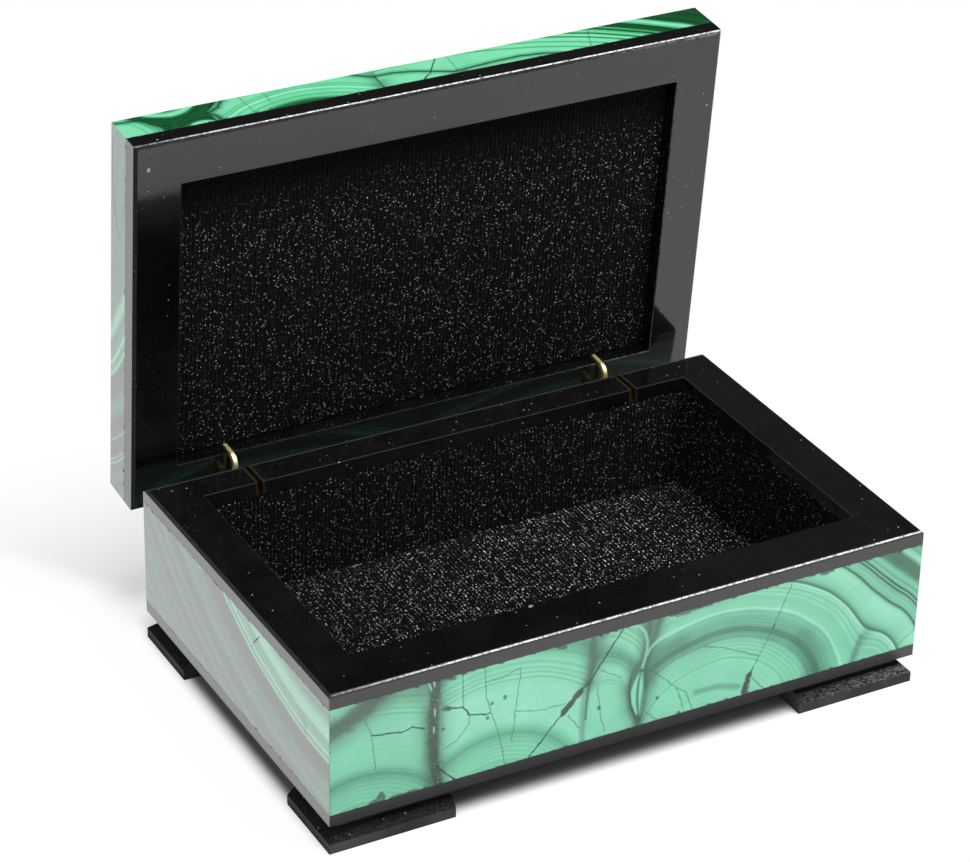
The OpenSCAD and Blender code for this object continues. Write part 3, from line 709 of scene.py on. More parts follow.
# %% The left slab
left_domes = [((49, 80), (.68, 1.0), 0, 0, 0, 0)]
left_marks = [("crack", [[(11.8, 34.5), (13.5, 36.5), (15, 38)]]), ("hairline", [[(10, 32.3), (11.8, 34.5)]]),
              ("faint", [[(39, 29), (39.4, 25.5)]])]
malachite_left = malachite("malachite_polished_left", (0, -1, 0), (0, 0, 1), left_domes, (side_layers,),
                           box_slab_mm, left_marks, deep=deep_brown, tones=side_tones, fine=0.8, fine_mm=2.4)
print("left slab:", len(malachite_left.node_tree.nodes), "nodes")

# %% [markdown]
# The right and the back slab are hidden in the photograph. They were surely sawn from the same stone, so
# they get domes of the same kind, with a vein and a few cracks of their own.

# %% The right and the back slab
right_domes = [((-30, -5), (.9, 1.0), 0, 0, 1, 0), ((28, 2), (1.0, .9), 6, 8, 0, 0),
               ((70, 40), (1, 1), 14, 20, 1, 0)]
right_marks = [("vein", [[(2, 9), (4, 22), (1, 41), (3, 60)]]),
               ("crack", [[(-34, 60), (-40, 40), (-33, 27), (-31, 10)]]),
               ("hairline", [[(20, 40), (24, 26), (33, 20), (36, 10)], [(-12, 24), (-2, 19)]])]
malachite_right = malachite("malachite_polished_right", (0, 1, 0), (0, 0, 1), right_domes,
                            (quiet_layers, bold_layers), box_slab_mm, right_marks, closes=False)
back_domes = [((-46, -18), (.8, 1.0), 0, 0, 1, 0), ((38, -16), (.85, 1.0), 0, 2, 1, 0)]
back_marks = [("vein", [[(-5, 9), (-4, 22), (-7, 41), (-4, 60)]]),
              ("crack", [[(-28, 60), (-30, 40), (-36, 26), (-33, 10)], [(58, 60), (62, 40), (68, 24), (66, 10)]]),
              ("hairline", [[(18, 40), (24, 28), (36, 25), (41, 10)], [(-70, 30), (-58, 26), (-50, 12)]])]
malachite_back = malachite("malachite_polished_back", (-1, 0, 0), (0, 0, 1), back_domes,
                           (quiet_layers, bold_layers), box_slab_mm, back_marks, closes=False)
print("malachite on the box: front, left, right, back")

# %% [markdown]
# The lid's edge slabs are of a deeper green, cut across the domes, so arches and small eyes of dark stone
# stand side by side. They are drawn with the lid shut, and the hinge's turn carries them along.

# %% The lid's front slab
lid_slab_mm = (48.45, 57.9)
lid_front_domes = [
    ((-84, 48), (1, 1), 50.5, 0, 2, 0), ((-66, 64), (1, 1), 50, 48.6, 1, 0), ((-60.5, 44), (1, 1), 53.8, 52.4, 1, 0),
    ((-34, 24), (.95, 1), 27, 0, 0, 0), ((3, 14), (.66, 1.0), 22.4, 0, 1, 0)]
lid_front_marks = [
    ("seam", [[(-65.8, 48), (-66, 50.5), (-63, 52.5), (-57.5, 52.5), (-55.8, 50.5), (-55.3, 48)],
              [(-57.5, 52.5), (-54, 54.2), (-51, 58)],
              [(-19, 58), (-13, 54.3), (-7, 54.2), (-2, 53), (3, 51), (7, 49.3), (12, 49.8), (20, 50.4), (26, 50.5),
               (32, 49.6), (36, 48.2)],
              [(-81, 55.8), (-74, 55.4), (-70, 54.6), (-67, 53.4)]]),
    ("thread", [[(-12.4, 54.3), (-12.7, 48.2)],
                [(-64, 48.3), (-63, 49.6), (-60, 50.4), (-57.5, 49.6), (-56.8, 48.3)]]),
    ("crack", [[(-2.3, 48), (1, 50.8), (6.4, 58)]]),
    ("hairline", [[(-47.2, 58), (-46.8, 48)], [(-41, 57), (-41, 52)], [(8.6, 58), (8, 48)], [(49, 58), (44.5, 48)]])]
malachite_lid_front = malachite("malachite_polished_lid_front", (1, 0, 0), (0, 0, 1), lid_front_domes,
                                (arch_layers, lid_layers, corner_layers), lid_slab_mm, lid_front_marks, on_lid=True,
                                deep=deepest_green, tones=lid_tones, fine=0.9, wax_film=0.5)
print("lid's front slab:", len(malachite_lid_front.node_tree.nodes), "nodes")

# %% The lid's left slab
lid_left_marks = [("thread", [[(22.5, 51.5), (26, 53.7), (30, 55), (36, 56.3), (48, 56)],
                             [(28, 57), (34, 57.9), (44, 57.6)]]),
                  ("pit", [[(28, 57.4), (28.1, 57.5)], [(24.2, 54.4), (24.4, 54.5)], [(29.5, 54.6), (29.6, 54.6)],
                           [(-38.6, 48.4), (-38.5, 48.5)]])]
malachite_lid_left = malachite("malachite_polished_lid_left", (0, -1, 0), (0, 0, 1),
                               [((47.6, 88), (.68, 1.0), 0, 0, 0, 0)], (lid_side_layers,), lid_slab_mm,
                               lid_left_marks, on_lid=True, deep=deep_brown, tones=side_tones, fine=0.5, fine_mm=2.4)
print("lid's left slab:", len(malachite_lid_left.node_tree.nodes), "nodes")

# %% [markdown]
# The right, the back and the top of the lid are hidden too. The top is the largest face of the box, where
# a maker would show whole eyes of the stone, so its domes are cut near their centres and wander more.

# %% The lid's hidden slabs
malachite_lid_right = malachite("malachite_polished_lid_right", (0, 1, 0), (0, 0, 1),
                                [((-20, 10), (.5, 1.0), 0, 0, 0, 0)], (bold_layers,), lid_slab_mm, right_marks,
                                on_lid=True)
lid_back_domes = [((-46, 4), (.8, 1.0), 0, 0, 1, 0), ((38, 8), (.85, 1.0), 0, 2, 1, 0)]
malachite_lid_back = malachite("malachite_polished_lid_back", (-1, 0, 0), (0, 0, 1), lid_back_domes,
                               (quiet_layers, bold_layers), lid_slab_mm, back_marks, on_lid=True, closes=False)
top_domes = [((-70, -60), (.9, .9), 0, 0, 0, 0), ((-40, 10), (1.1, 1.0), 10, 6, 1, 0),
             ((18, -20), (.9, 1.0), 4, 0, 1, 0), ((60, 30), (1.0, 1.0), 8, 4, 0, 0),
             ((75, -48), (1.0, 1.1), 6, 10, 1, 0), ((-20, 55), (1.0, .9), 4, 12, 0, 0)]
top_marks = [("crack", [[(-60, 52), (-52, 20), (-30, -8), (-26, -52)], [(30, 52), (38, 26), (62, 8), (81, 4)]]),
             ("hairline", [[(-80, -20), (-58, -12), (-44, -18)], [(2, 52), (6, 30), (0, 12)],
                           [(20, -52), (28, -30), (50, -22)]])]
malachite_lid_top = malachite("malachite_polished_lid_top", (1, 0, 0), (0, 1, 0), top_domes,
                              (quiet_layers, bold_layers), (-box_half_depth, box_half_depth), top_marks,
                              on_lid=True, wander_mm=8.0, closes=False)
print("malachite slabs:", len([m for m in bpy.data.materials if m.name.startswith("malachite_polished")]))

# %% [markdown]
# ## Black stone
# The plates are a fine-grained black stone, sawn, ground and polished, with a film of wax. Polish makes
# it a dark mirror: it takes its grey from the white paper and its black from the dark room. The chamfers
# and the feet were only ground, so they scatter light and show small bright grains.

# %% Ground and polished body of the stone
stone_cloud_mm = 9.0
streak_mm = 0.3
streak_stretch = (0.35, 0.35, 1.6)
grain_highlight_mm = (35.0, 78.0)
unlit_grain_share = 0.12


def stone_body(tree, place, shut_parts, ground, polished, on_lid):
    """Cloudy body colour, with grinding streaks of 0.2 by 0.9 mm where the stone is only ground; on feet and lid they
    are painted brighter to the right as a highlight.
    """
    clouds = add(tree, "TexNoise", {"Vector": place, "Scale": 1 / stone_cloud_mm, "Detail": 5.0})
    body = add(tree, "ValToRGB", {0: clouds}, out=None)
    dark, light = ("#040405", "#0a0a0b") if on_lid else ("#070708", "#0f0f10") if polished else ("#2f2f30", "#434344")
    set_stops(body, [(0.3, linear(dark)), (0.7, linear(light))])
    drawn_out = add(tree, "VectorMath", {0: place, 1: streak_stretch}, operation="MULTIPLY")
    grains = add(tree, "TexNoise", {"Vector": drawn_out, "Scale": 1 / streak_mm, "Detail": 3.0})
    many_grains = on_lid or not polished
    least, most = (0.40, 0.78) if many_grains else (0.56, 0.72)
    grains = add(tree, "MapRange", {"Value": grains, "From Min": least, "From Max": most})
    # Painted highlight: on the feet and the lid, the grains are faint on the left and full on the right, where the
    # light catches them.
    if many_grains:
        grain_highlight = add(tree, "MapRange", {"Value": shut_parts.outputs["X"], "From Min": grain_highlight_mm[0],
                                         "From Max": grain_highlight_mm[1], "To Min": unlit_grain_share})
        grains = add(tree, "Math", {0: grains, 1: grain_highlight}, operation="MULTIPLY")
    streak = "#8c8c8f" if on_lid else "#202022" if polished else "#8a8a8d"
    rough_body = add(tree, "Mix", {0: grains, 6: linear("#020202"), 7: linear(streak)}, out=2, data_type="RGBA")
    return add(tree, "Mix", {0: ground, 6: body.outputs[0], 7: rough_body}, out=2, data_type="RGBA")


streak_size_mm = [round(streak_mm / stretch, 2) for stretch in streak_stretch]
print("grinding streaks", streak_size_mm[2], "mm high and", streak_size_mm[0], "mm long")

# %% [markdown]
# A thin, broken pale line is painted on the front chamfers of box and lid, as the highlight that the
# soft light draws there. The line is found by its height over the joint between box and lid, so it needs
# no geometry of its own, and it fades out towards the left corner.

# %% The painted highlight on the front edges
highlight_joint_mm = 43.375
highlight_from_mm = (-80.0, -45.0)
least_highlight = 0.2
highlight_patch_mm = 0.7
highlight_patch_range = (0.36, 0.60)
least_highlight_patch = 0.12


def painted_edge_highlight(tree, place, shut_parts, chamfer, colour, highlight_strength, highlight_line):
    """Painted highlight on the front chamfers. The line has a distance from the joint, a half width and a faded one
    in mm.
    """
    from_joint, half_width, faded_width = highlight_line
    height = add(tree, "Math", {0: shut_parts.outputs["Z"], 1: highlight_joint_mm}, operation="SUBTRACT")
    height = add(tree, "Math", {0: add(tree, "Math", {0: height}, operation="ABSOLUTE"), 1: from_joint},
                 operation="SUBTRACT")
    highlighted = add(tree, "MapRange", {"Value": add(tree, "Math", {0: height}, operation="ABSOLUTE"),
                                  "From Min": half_width, "From Max": faded_width, "To Min": 1.0, "To Max": 0.0})
    highlight_fade = add(tree, "MapRange", {"Value": shut_parts.outputs["X"], "From Min": highlight_from_mm[0],
                                     "From Max": highlight_from_mm[1], "To Min": least_highlight})
    patchy = add(tree, "TexNoise", {"Vector": place, "Scale": 1 / highlight_patch_mm, "Detail": 3.0, "Roughness": 0.7})
    patchy = add(tree, "MapRange", {"Value": patchy, "From Min": highlight_patch_range[0], "From Max": highlight_patch_range[1],
                                    "To Min": least_highlight_patch * highlight_strength, "To Max": highlight_strength})
    for part in (*chamfer, highlight_fade, patchy):
        highlighted = add(tree, "Math", {0: highlighted, 1: part}, operation="MULTIPLY")
    # The painted highlight: a pale line mixed into the chamfer's colour.
    return add(tree, "Mix", {0: highlighted, 6: colour, 7: linear("#f2f2f4")}, out=2, data_type="RGBA")


print("worn lines lie on both sides of the joint at", highlight_joint_mm, "mm")

# %% [markdown]
# The stone holds pale specks of another mineral, up to half a millimetre across, and finer dust. The rim
# and the lid's frame each have one larger chip, bruised grey. Voronoi cells with one round speck in each
# give specks and dust alike, and the random colour of a cell sets the size of its speck.

# %% Specks and chips
speck_kinds = [(2.6, 0.09, "#a8a8aa"), (0.95, 0.10, "#5a5a5d")]
chip_ragged_mm = 0.6
chip_ragged_by = 1.2
chip_edge_mm = 0.3
chip_grey = 0.9


def stone_specks(tree, place, shut, colour, fleck):
    """Specks and dust over a colour, and one pale chip, given as its place and reach in mm."""
    for pitch_mm, largest, shade in speck_kinds:
        specks = add(tree, "TexVoronoi", {"Vector": place, "Scale": 1 / pitch_mm}, out=None)
        size = add(tree, "Math", {0: specks.outputs["Color"], 1: largest}, operation="MULTIPLY")
        speck = add(tree, "Math", {0: specks.outputs["Distance"], 1: size}, operation="LESS_THAN")
        colour = add(tree, "Mix", {0: speck, 6: colour, 7: linear(shade)}, out=2, data_type="RGBA")
    if fleck:
        spot, reach = fleck
        off = add(tree, "VectorMath", {0: shut, 1: spot}, out="Value", operation="DISTANCE")
        ragged = add(tree, "TexNoise", {"Vector": place, "Scale": 1 / chip_ragged_mm, "Detail": 3.0})
        off = add(tree, "Math", {0: ragged, 1: chip_ragged_by, 2: off}, operation="MULTIPLY_ADD")
        chip = add(tree, "MapRange", {"Value": off, "From Min": reach, "From Max": reach + chip_edge_mm,
                                      "To Min": chip_grey, "To Max": 0.0})
        colour = add(tree, "Mix", {0: chip, 6: colour, 7: linear("#9a9a9d")}, out=2, data_type="RGBA")
    return colour


print("specks and dust, pitch in mm and largest size as a share of it:", [kind[:2] for kind in speck_kinds])

# %% [markdown]
# The whole material puts these together. A face that looks straight along one axis was polished, a
# slanted one is a chamfer and only ground. The hand polish leaves a faint ripple, about 2 mm from crest
# to crest, and wiping marks, so the mirror is never perfect.

# %% Polished and ground black stone
polished_roughness = (0.09, 0.20)
foot_roughness = (0.26, 0.38)
chamfer_roughness, front_chamfer_roughness, foot_bevel_roughness = 0.95, 0.8, 0.85
flat_from = 0.95
front_edge_mm = -46.0
front_facing_from = 0.3
wipe_mm = 14.0
ripple_mm = 2.0
ripple_height = 0.02 * MM


def black_stone(name, polished, on_lid=False, wax_film=0.9, highlight_strength=0.95, highlight_line=(0.36, 0.08, 0.19), fleck=None):
    """Fine black stone, polished and waxed on its flats or only ground."""
    material = bpy.data.materials.new(name)
    tree = new_tree(material)
    coords = add(tree, "TexCoord", out=None)
    place = add(tree, "VectorMath", {0: coords.outputs["Object"], "Scale": 1 / MM}, operation="SCALE")
    shut, facing = coords.outputs["Object"], coords.outputs["Normal"]
    if on_lid:
        shut = add(tree, "VectorRotate", {"Vector": shut, "Center": pivot, "Angle": closing_angle},
                   rotation_type="X_AXIS")
        facing = add(tree, "VectorRotate", {"Vector": facing, "Center": (0, 0, 0), "Angle": closing_angle},
                     rotation_type="X_AXIS")
    shut = add(tree, "VectorMath", {0: shut, "Scale": 1 / MM}, operation="SCALE")
    shut_parts = add(tree, "SeparateXYZ", {0: shut}, out=None)
    facing = add(tree, "SeparateXYZ", {0: add(tree, "VectorMath", {0: facing}, operation="ABSOLUTE")}, out=None)
    flat = add(tree, "Math", {0: facing.outputs[0], 1: facing.outputs[1]}, operation="MAXIMUM")
    flat = add(tree, "Math", {0: flat, 1: facing.outputs[2]}, operation="MAXIMUM")
    ground = add(tree, "Math", {0: flat, 1: flat_from}, operation="LESS_THAN")
    front_edge = add(tree, "Math", {0: shut_parts.outputs["Y"], 1: front_edge_mm}, operation="LESS_THAN")
    front_edge = add(tree, "Math", {0: front_edge, 1: facing.outputs[1]}, operation="MULTIPLY")
    front_edge = add(tree, "Math", {0: front_edge, 1: front_facing_from}, operation="GREATER_THAN")
    colour = stone_body(tree, place, shut_parts, ground, polished, on_lid)
    # A pale line painted on the front chamfers as a highlight.
    colour = painted_edge_highlight(tree, place, shut_parts, (ground, front_edge), colour, highlight_strength, highlight_line)
    colour = stone_specks(tree, place, shut, colour, fleck)

    wipes = add(tree, "TexNoise", {"Vector": place, "Scale": 1 / wipe_mm, "Detail": 8.0})
    ripple = add(tree, "TexNoise", {"Vector": place, "Scale": 1 / ripple_mm, "Detail": 5.0, "Roughness": 0.6})
    ripple = add(tree, "Bump", {"Height": ripple, "Strength": 0.3, "Distance": ripple_height})
    smooth, dull = polished_roughness if polished else foot_roughness
    polish = add(tree, "MapRange", {"Value": wipes, "To Min": smooth, "To Max": dull})
    slanted = foot_bevel_roughness
    if polished:
        slanted = add(tree, "Mix", {0: front_edge, 2: chamfer_roughness, 3: front_chamfer_roughness})
    polish = add(tree, "Mix", {0: ground, 2: polish, 3: slanted})
    if polished:
        wax = add(tree, "Math", {0: wax_film, 1: add(tree, "Math", {0: 1.0, 1: ground}, operation="SUBTRACT")},
                  operation="MULTIPLY")
        bare, film_ior = (0.2, 1.6) if on_lid else (0.5, 1.4)
        shader = add(tree, "BsdfPrincipled", {"Base Color": colour, "Roughness": polish, "IOR": 1.6, "Normal": ripple,
                                              "Specular IOR Level": bare, "Coat Weight": wax, "Coat Roughness": 0.06,
                                              "Coat IOR": film_ior, "Coat Normal": ripple})
    else:
        shader = add(tree, "BsdfPrincipled", {"Base Color": colour, "Roughness": polish, "IOR": 1.5, "Normal": ripple,
                                              "Specular IOR Level": 0.2})
    add(tree, "OutputMaterial", {"Surface": shader})
    return material


stone_polished = black_stone("black_stone_polished_waxed", True, fleck=((-21.5, -38.6, 43.3), 0.9))
stone_lid = black_stone("black_stone_polished_waxed_lid", True, on_lid=True, highlight_strength=0.9,
                        highlight_line=(0.80, 0.11, 0.19), fleck=((-76.3, -45.0, 43.45), 0.9))
stone_ground = black_stone("black_stone_ground", False)
print("black stone: polished, polished on the lid, ground")

# %% [markdown]
# ## Brass hinges
# The hinge arms are bent from rolled brass strip and stay bright where they rub. The channels are sawn
# from bar and sit in deep slots; their dark olive is painted shade, and their bright edges a painted
# highlight. Brass is a metal, so its colour is the colour of its reflection.

# %% Bright and tarnished brass
cheek_mm = 0.3
cheek_edge_mm = 0.15
brass_cloud_mm = 1.2
scratches_per_mm = (5.0, 0.4, 0.4)
scratch_depth = 0.02 * MM
channel_sides = [v.co.x / MM for v in nodes["hinge_channel_right"].data.vertices]
hinge_at_mm = (max(channel_sides) + min(channel_sides)) / 2
cheek_from_mm = (max(channel_sides) - min(channel_sides)) / 2 - cheek_mm


def brass(name, shades, roughness):
    """Brass with drawn scratches 0.2 mm apart, clouded between two shades, and a third shade painted on the edges of
    the cheeks as a highlight.
    """
    material = bpy.data.materials.new(name)
    tree = new_tree(material)
    place = add(tree, "VectorMath", {0: add(tree, "TexCoord", out="Object"), "Scale": 1 / MM}, operation="SCALE")
    brass_clouds = add(tree, "TexNoise", {"Vector": place, "Scale": 1 / brass_cloud_mm, "Detail": 4.0})
    colour = add(tree, "ValToRGB", {0: brass_clouds}, out=None)
    set_stops(colour, [(0.35, linear(shades[0])), (0.65, linear(shades[1]))])
    aside = add(tree, "SeparateXYZ", {0: add(tree, "VectorMath", {0: place}, operation="ABSOLUTE")}, out="X")
    aside = add(tree, "Math", {0: aside, 1: hinge_at_mm}, operation="SUBTRACT")
    aside = add(tree, "Math", {0: aside}, operation="ABSOLUTE")
    # Painted highlight: the outer 0.3 mm of each side of a hinge gets the third shade.
    cheek_highlight = add(tree, "MapRange", {"Value": aside, "From Min": cheek_from_mm,
                                   "From Max": cheek_from_mm + cheek_edge_mm})
    colour = add(tree, "Mix", {0: cheek_highlight, 6: colour.outputs[0], 7: linear(shades[2])}, out=2, data_type="RGBA")
    drawn = add(tree, "VectorMath", {0: place, 1: scratches_per_mm}, operation="MULTIPLY")
    scratches = add(tree, "TexNoise", {"Vector": drawn, "Scale": 1.0, "Detail": 2.0})
    rough = add(tree, "MapRange", {"Value": scratches, "To Min": roughness[0], "To Max": roughness[1]})
    bump = add(tree, "Bump", {"Height": scratches, "Strength": 0.15, "Distance": scratch_depth})
    shader = add(tree, "BsdfPrincipled", {"Base Color": colour, "Metallic": 1.0, "Roughness": rough,
                                          "Normal": bump})
    add(tree, "OutputMaterial", {"Surface": shader})
    return material


brass_bright = brass("brass_rolled_bright", ("#ecd58c", "#fbeebc", "#f0dc9c"), (0.45, 0.6))
# Channels and pins are painted dark as the shade inside the hinge slots, with paler painted highlights on the edges
# of the cheeks.
brass_shaded = brass("brass_sawn_shaded", ("#3e3518", "#6f5f2e", "#a48d4c"), (0.35, 0.5))
print("brass: bright arms, tarnished channels and pins; cheeks", round(cheek_from_mm, 2), "mm off a hinge's middle")

# %% [markdown]
# ## Ribbed velvet
# The lining is thin black velvet with ribs a good millimetre apart, stretched over card and pushed into
# the box and the lid. Each panel is a real sheet with half-round ribs and an edge that turns over its
# card. The pile swallows light, and single bright fibres glint, so the finish is nearly black with many
# tiny white glints in rows. Real fibres are a few hundredths of a millimetre thick, too fine to show, so
# the glints are drawn about 0.2 mm wide.

# %% Rows of dashes on the ribs
rib_pitch_mm = 1.1
dash_mm = 0.5
dash_range = (0.65, 0.77)
ridge_range = (0.6, 0.95)
rib_shift = 7.31


def rib_dashes(tree, across, along, top, dashes):
    """Short bright dashes along the rib tops, different on each rib."""
    rib = add(tree, "Math", {0: across, 1: rib_pitch_mm}, operation="DIVIDE")
    rib = add(tree, "Math", {0: add(tree, "Math", {0: rib}, operation="FLOOR"), 1: rib_shift}, operation="MULTIPLY")
    step = add(tree, "Math", {0: along, 1: dash_mm}, operation="DIVIDE")
    dash = add(tree, "TexNoise", {"Vector": add(tree, "CombineXYZ", {0: rib, 1: step}), "Scale": 1.0, "Detail": 1.0},
               noise_dimensions="2D")
    dash = add(tree, "MapRange", {"Value": dash, "From Min": dash_range[0], "From Max": dash_range[1],
                                  "To Max": dashes})
    ridge = add(tree, "MapRange", {"Value": top, "From Min": ridge_range[0], "From Max": ridge_range[1]})
    return add(tree, "Math", {0: dash, 1: ridge}, operation="MULTIPLY")


print("ribs", rib_pitch_mm, "mm apart, dashes", dash_mm, "mm long")

# %% Single bright fibres
glint_mm = 0.34
glint_edge = (0.25, 0.42)
rarity = 30.0


def fibre_glints(tree, cut, glints):
    """Round glints of single fibres, most of them dim and a few bright."""
    cells = add(tree, "VectorMath", {0: cut, "Scale": 1 / glint_mm}, operation="SCALE")
    fibres = add(tree, "TexVoronoi", {"Vector": cells, "Scale": 1.0}, out=None, voronoi_dimensions="2D")
    chosen = add(tree, "SeparateXYZ", {0: fibres.outputs["Color"]}, out=0)
    bright = add(tree, "Math", {0: chosen, 1: rarity}, operation="POWER")
    spot = add(tree, "MapRange", {"Value": fibres.outputs["Distance"], "From Min": glint_edge[0],
                                  "From Max": glint_edge[1], "To Min": glints, "To Max": 0.0})
    return add(tree, "Math", {0: bright, 1: spot}, operation="MULTIPLY")


print("fibres that may glint:", glint_mm, "mm apart")

# %% [markdown]
# The lid's frame shades the velvet along the lid's front edge, and the box's rim shades the left end of
# the floor. Both are painted: fewer glints there on the lid, and a darker pile and fewer dashes on the floor.
# Velvet has next to no shine of its own, so its gloss is low and only a trace of sheen is left.

# %% Velvet material
nap_mm = 0.25
nap_height = 0.1 * MM
edge_shadow_share = 0.05
left_end_shade_share = 0.5


def velvet(name, pile, dashes, glints, edge_shadow_mm=0.0, left_end_shade_mm=None):
    """Black ribbed velvet. Dashes shine along the rib tops, glints are fibres anywhere but in a painted shadow along
    one edge. At one end the pile and the dashes may be painted darker, as shade."""
    material = bpy.data.materials.new(name)
    tree = new_tree(material)
    cut = add(tree, "Attribute", out="Vector", attribute_name="cut_mm")
    sides = add(tree, "SeparateXYZ", {0: cut}, out=None)
    across, along = sides.outputs[0], sides.outputs[1]
    top = add(tree, "Math", {0: across, 1: rib_pitch_mm / 2}, operation="PINGPONG")
    top = add(tree, "MapRange", {"Value": top, "From Max": rib_pitch_mm / 2})
    dash = rib_dashes(tree, across, along, top, dashes)
    nap = add(tree, "TexNoise", {"Vector": cut, "Scale": 1 / nap_mm, "Detail": 2.0}, noise_dimensions="2D")
    shade = add(tree, "Math", {0: nap, 1: top}, operation="MULTIPLY")
    # Painted shade at one end: the pile and the dashes are darkened there.
    if left_end_shade_mm:
        left_end_shade = add(tree, "MapRange", {"Value": across, "From Min": left_end_shade_mm[0], "From Max": left_end_shade_mm[1],
                                         "To Min": left_end_shade_share})
        dash = add(tree, "Math", {0: dash, 1: left_end_shade}, operation="MULTIPLY")
        shade = add(tree, "Math", {0: shade, 1: left_end_shade}, operation="MULTIPLY")
    glint = add(tree, "Math", {0: fibre_glints(tree, cut, glints), 1: dash}, operation="ADD", use_clamp=True)
    # Painted shadow along one edge: the glints fade out there.
    if edge_shadow_mm:
        out_of_edge_shadow = add(tree, "MapRange", {"Value": along, "From Min": edge_shadow_mm / 3, "From Max": edge_shadow_mm,
                                         "To Min": edge_shadow_share}, interpolation_type="SMOOTHSTEP")
        glint = add(tree, "Math", {0: glint, 1: out_of_edge_shadow}, operation="MULTIPLY")

    ground = add(tree, "Mix", {0: shade, 6: linear("#020202"), 7: linear(pile)}, out=2, data_type="RGBA")
    colour = add(tree, "Mix", {0: glint, 6: ground, 7: linear("#fafafc")}, out=2, data_type="RGBA")
    bump = add(tree, "Bump", {"Height": nap, "Strength": 0.4, "Distance": nap_height})
    shader = add(tree, "BsdfPrincipled", {"Base Color": colour, "Roughness": 0.85, "IOR": 1.45, "Normal": bump,
                                          "Specular IOR Level": 0.08, "Sheen Weight": 0.01, "Sheen Roughness": 0.4})
    add(tree, "OutputMaterial", {"Surface": shader})
    return material


# The floor gets a painted shade at its left end, the lid a painted shadow along its front edge.
velvet_floor = velvet("velvet_ribbed_floor", "#0f0f10", 1.0, 1.0, left_end_shade_mm=(27.0, 75.0))
velvet_walls = velvet("velvet_ribbed_walls", "#1a1a1b", 0.03, 0.9)
velvet_lid = velvet("velvet_ribbed_lid", "#141415", 0.03, 1.0, edge_shadow_mm=20.0)
print("velvet: floor, walls, lid")

# %% [markdown]
# A lining panel is a card with the velvet glued over it, so it has thickness, rounded edges and a flat
# underside. We build it as a grid of points: half-round ribs across, more rows near the ends where the
# cloth turns over, a little slack between, and a closed rim and back. A displaced plane would do for the
# looks, but a closed panel can stand in for the solid that it replaces.

# %% Points and faces of a ribbed panel
rib_depth_mm = 0.22
rib_roundness = 0.7
steps_per_rib = 5
edge_round_mm = 0.6
edge_rows_mm = np.array([0, 0.08, 0.2, 0.36, 0.6])
first_row_mm = 2.5
row_mm = 3
slack_mm = 0.03
slack_lengths_mm = (17, 13)


def ribbed_points(width, length, thick):
    """Points in mm and faces of a panel with its underside at zero and its ribs along the second axis."""
    x = np.linspace(0, width, round(width / rib_pitch_mm * steps_per_rib) + 1)
    rows_between = np.linspace(first_row_mm, length - first_row_mm, round(length / row_mm))
    y = np.concatenate([edge_rows_mm, rows_between, length - edge_rows_mm[::-1]])
    grid_x, grid_y = np.meshgrid(x, y, indexing="ij")
    ribs = np.abs(np.sin(pi * grid_x / rib_pitch_mm)) ** rib_roundness
    inwards = np.minimum(np.minimum(grid_x, width - grid_x), np.minimum(grid_y, length - grid_y))
    turn = np.clip(edge_round_mm - inwards, 0, edge_round_mm)
    drop = edge_round_mm - np.sqrt(edge_round_mm ** 2 - turn ** 2)
    slack = slack_mm * (np.sin(grid_x / slack_lengths_mm[0] + 1) * np.sin(grid_y / slack_lengths_mm[1] + 2) - 1)
    grid_z = thick - rib_depth_mm * (1 - ribs) - drop + slack

    columns, rows = grid_x.shape
    number = np.arange(columns * rows).reshape(columns, rows)
    points = np.stack([grid_x, grid_y, grid_z], -1).reshape(-1, 3)
    top = [number[:-1, :-1], number[1:, :-1], number[1:, 1:], number[:-1, 1:]]
    faces = np.stack(top, -1).reshape(-1, 4).tolist()
    loop = np.concatenate([number[:, 0], number[-1, 1:], number[-2::-1, -1], number[0, -2:0:-1]])
    below = points[loop] * (1, 1, 0)
    under = np.arange(len(loop)) + len(points)
    faces += np.stack([under, np.roll(under, -1), np.roll(loop, -1), loop], -1).tolist()
    faces.append(under[::-1].tolist())
    return np.concatenate([points, below]), faces


print("a rib is", rib_depth_mm, "mm deep, and the edge turns over", edge_round_mm, "mm")

# %% [markdown]
# Each panel takes the place of a plain lining solid and gets its size from it, so it fits by itself. The
# lid's panel is measured and laid with the lid shut, then turned open with it. The velvet was cut larger
# than the card, by the thickness of the card on each side, and that is its flat size.

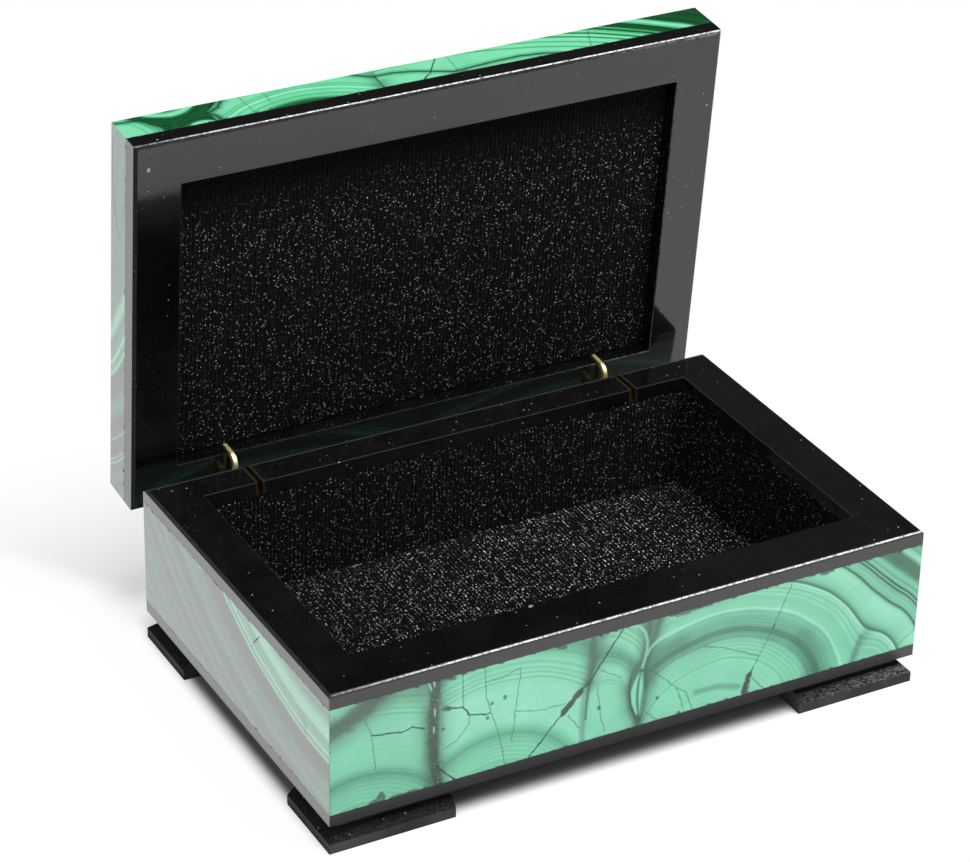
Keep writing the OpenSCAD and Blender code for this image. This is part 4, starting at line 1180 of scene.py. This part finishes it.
# %% Velvet panels in place of the plain linings
def ribbed_panel(name, node, out, along, material, body, open_up=None):
    """Velvet over card in place of a solid. It faces out and its ribs run along."""
    solid = nodes[node].data
    corners = np.array([v.co for v in solid.vertices])
    if open_up is not None:
        corners = np.array([open_up.inverted() @ Vector(c) for c in corners])
    low, high = Vector(corners.min(0)), Vector(corners.max(0))
    out, along = Vector(out), Vector(along)
    across = along.cross(out)
    size = high - low
    width, length, thick = (abs(size.dot(d)) / MM for d in (across, along, out))
    points, faces = ribbed_points(width, length, thick)

    mesh = bpy.data.meshes.new(name)
    mesh.from_pydata(points * MM, [], faces)
    cut = mesh.attributes.new("cut_mm", "FLOAT_VECTOR", "POINT")
    cut.data.foreach_set("vector", points.astype(np.float32).ravel())
    corner = (low + high) / 2 - across * width * MM / 2 - along * length * MM / 2 - out * thick * MM / 2
    place = Matrix.Translation(corner) @ Matrix((across, along, out)).transposed().to_4x4()
    if open_up is not None:
        place = open_up @ place
    mesh.transform(place)
    mesh.polygons.foreach_set("use_smooth", [True] * (len(mesh.polygons) - 1) + [False])
    mesh.materials.append(material)
    panel = bpy.data.objects.new(name, mesh)
    bpy.context.scene.collection.objects.link(panel)
    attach(panel, body)
    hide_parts(node)
    return panel, (width + 2 * thick) * MM, (length + 2 * thick) * MM


panels = {
    "floor_velvet": ("floor_lining", (0, 0, 1), (0, 1, 0), velvet_floor, "box", None, "base_plate"),
    "front_velvet": ("lining_front", (0, 1, 0), (0, 0, 1), velvet_walls, "box", None, "wall_front"),
    "back_velvet": ("lining_back", (0, -1, 0), (0, 0, 1), velvet_walls, "box", None, "wall_back"),
    "left_velvet": ("lining_left", (1, 0, 0), (0, 0, 1), velvet_walls, "box", None, "wall_left"),
    "right_velvet": ("lining_right", (-1, 0, 0), (0, 0, 1), velvet_walls, "box", None, "wall_right"),
    "lid_velvet": ("lid_lining", (0, 0, -1), (0, 1, 0), velvet_lid, "lid", shut_to_open, "lid_core")}
for name, (node, out, along, material, body, open_up, carrier) in panels.items():
    panel, cut_width, cut_length = ribbed_panel(name, node, out, along, material, body, open_up)
    print(name, "cut", round(cut_width, 4), "by", round(cut_length, 4), "m,", len(panel.data.vertices), "points")

# %% [markdown]
# ## Finishes onto the solids
# Every solid keeps its exact shape and only gets its finish. A short table says which.

# %% Assign the finishes
finishes = {
    "slab_front": malachite_front, "slab_left": malachite_left, "slab_right": malachite_right,
    "slab_back": malachite_back, "lid_slab_front": malachite_lid_front, "lid_slab_left": malachite_lid_left,
    "lid_slab_right": malachite_lid_right, "lid_slab_back": malachite_lid_back, "lid_slab_top": malachite_lid_top,
    "lid_frame": stone_lid, "lid_core": stone_lid,
    "hinge_arm_left": brass_bright, "hinge_arm_right": brass_bright}
for name, solid in nodes.items():
    finish = finishes.get(name)
    if finish is None:
        finish = (stone_ground if name.startswith("foot") else brass_shaded if name.startswith("hinge")
                  else velvet_walls if "lining" in name else stone_polished)
    solid.data.materials.clear()
    solid.data.materials.append(finish)
print("finished", len(nodes), "solids")
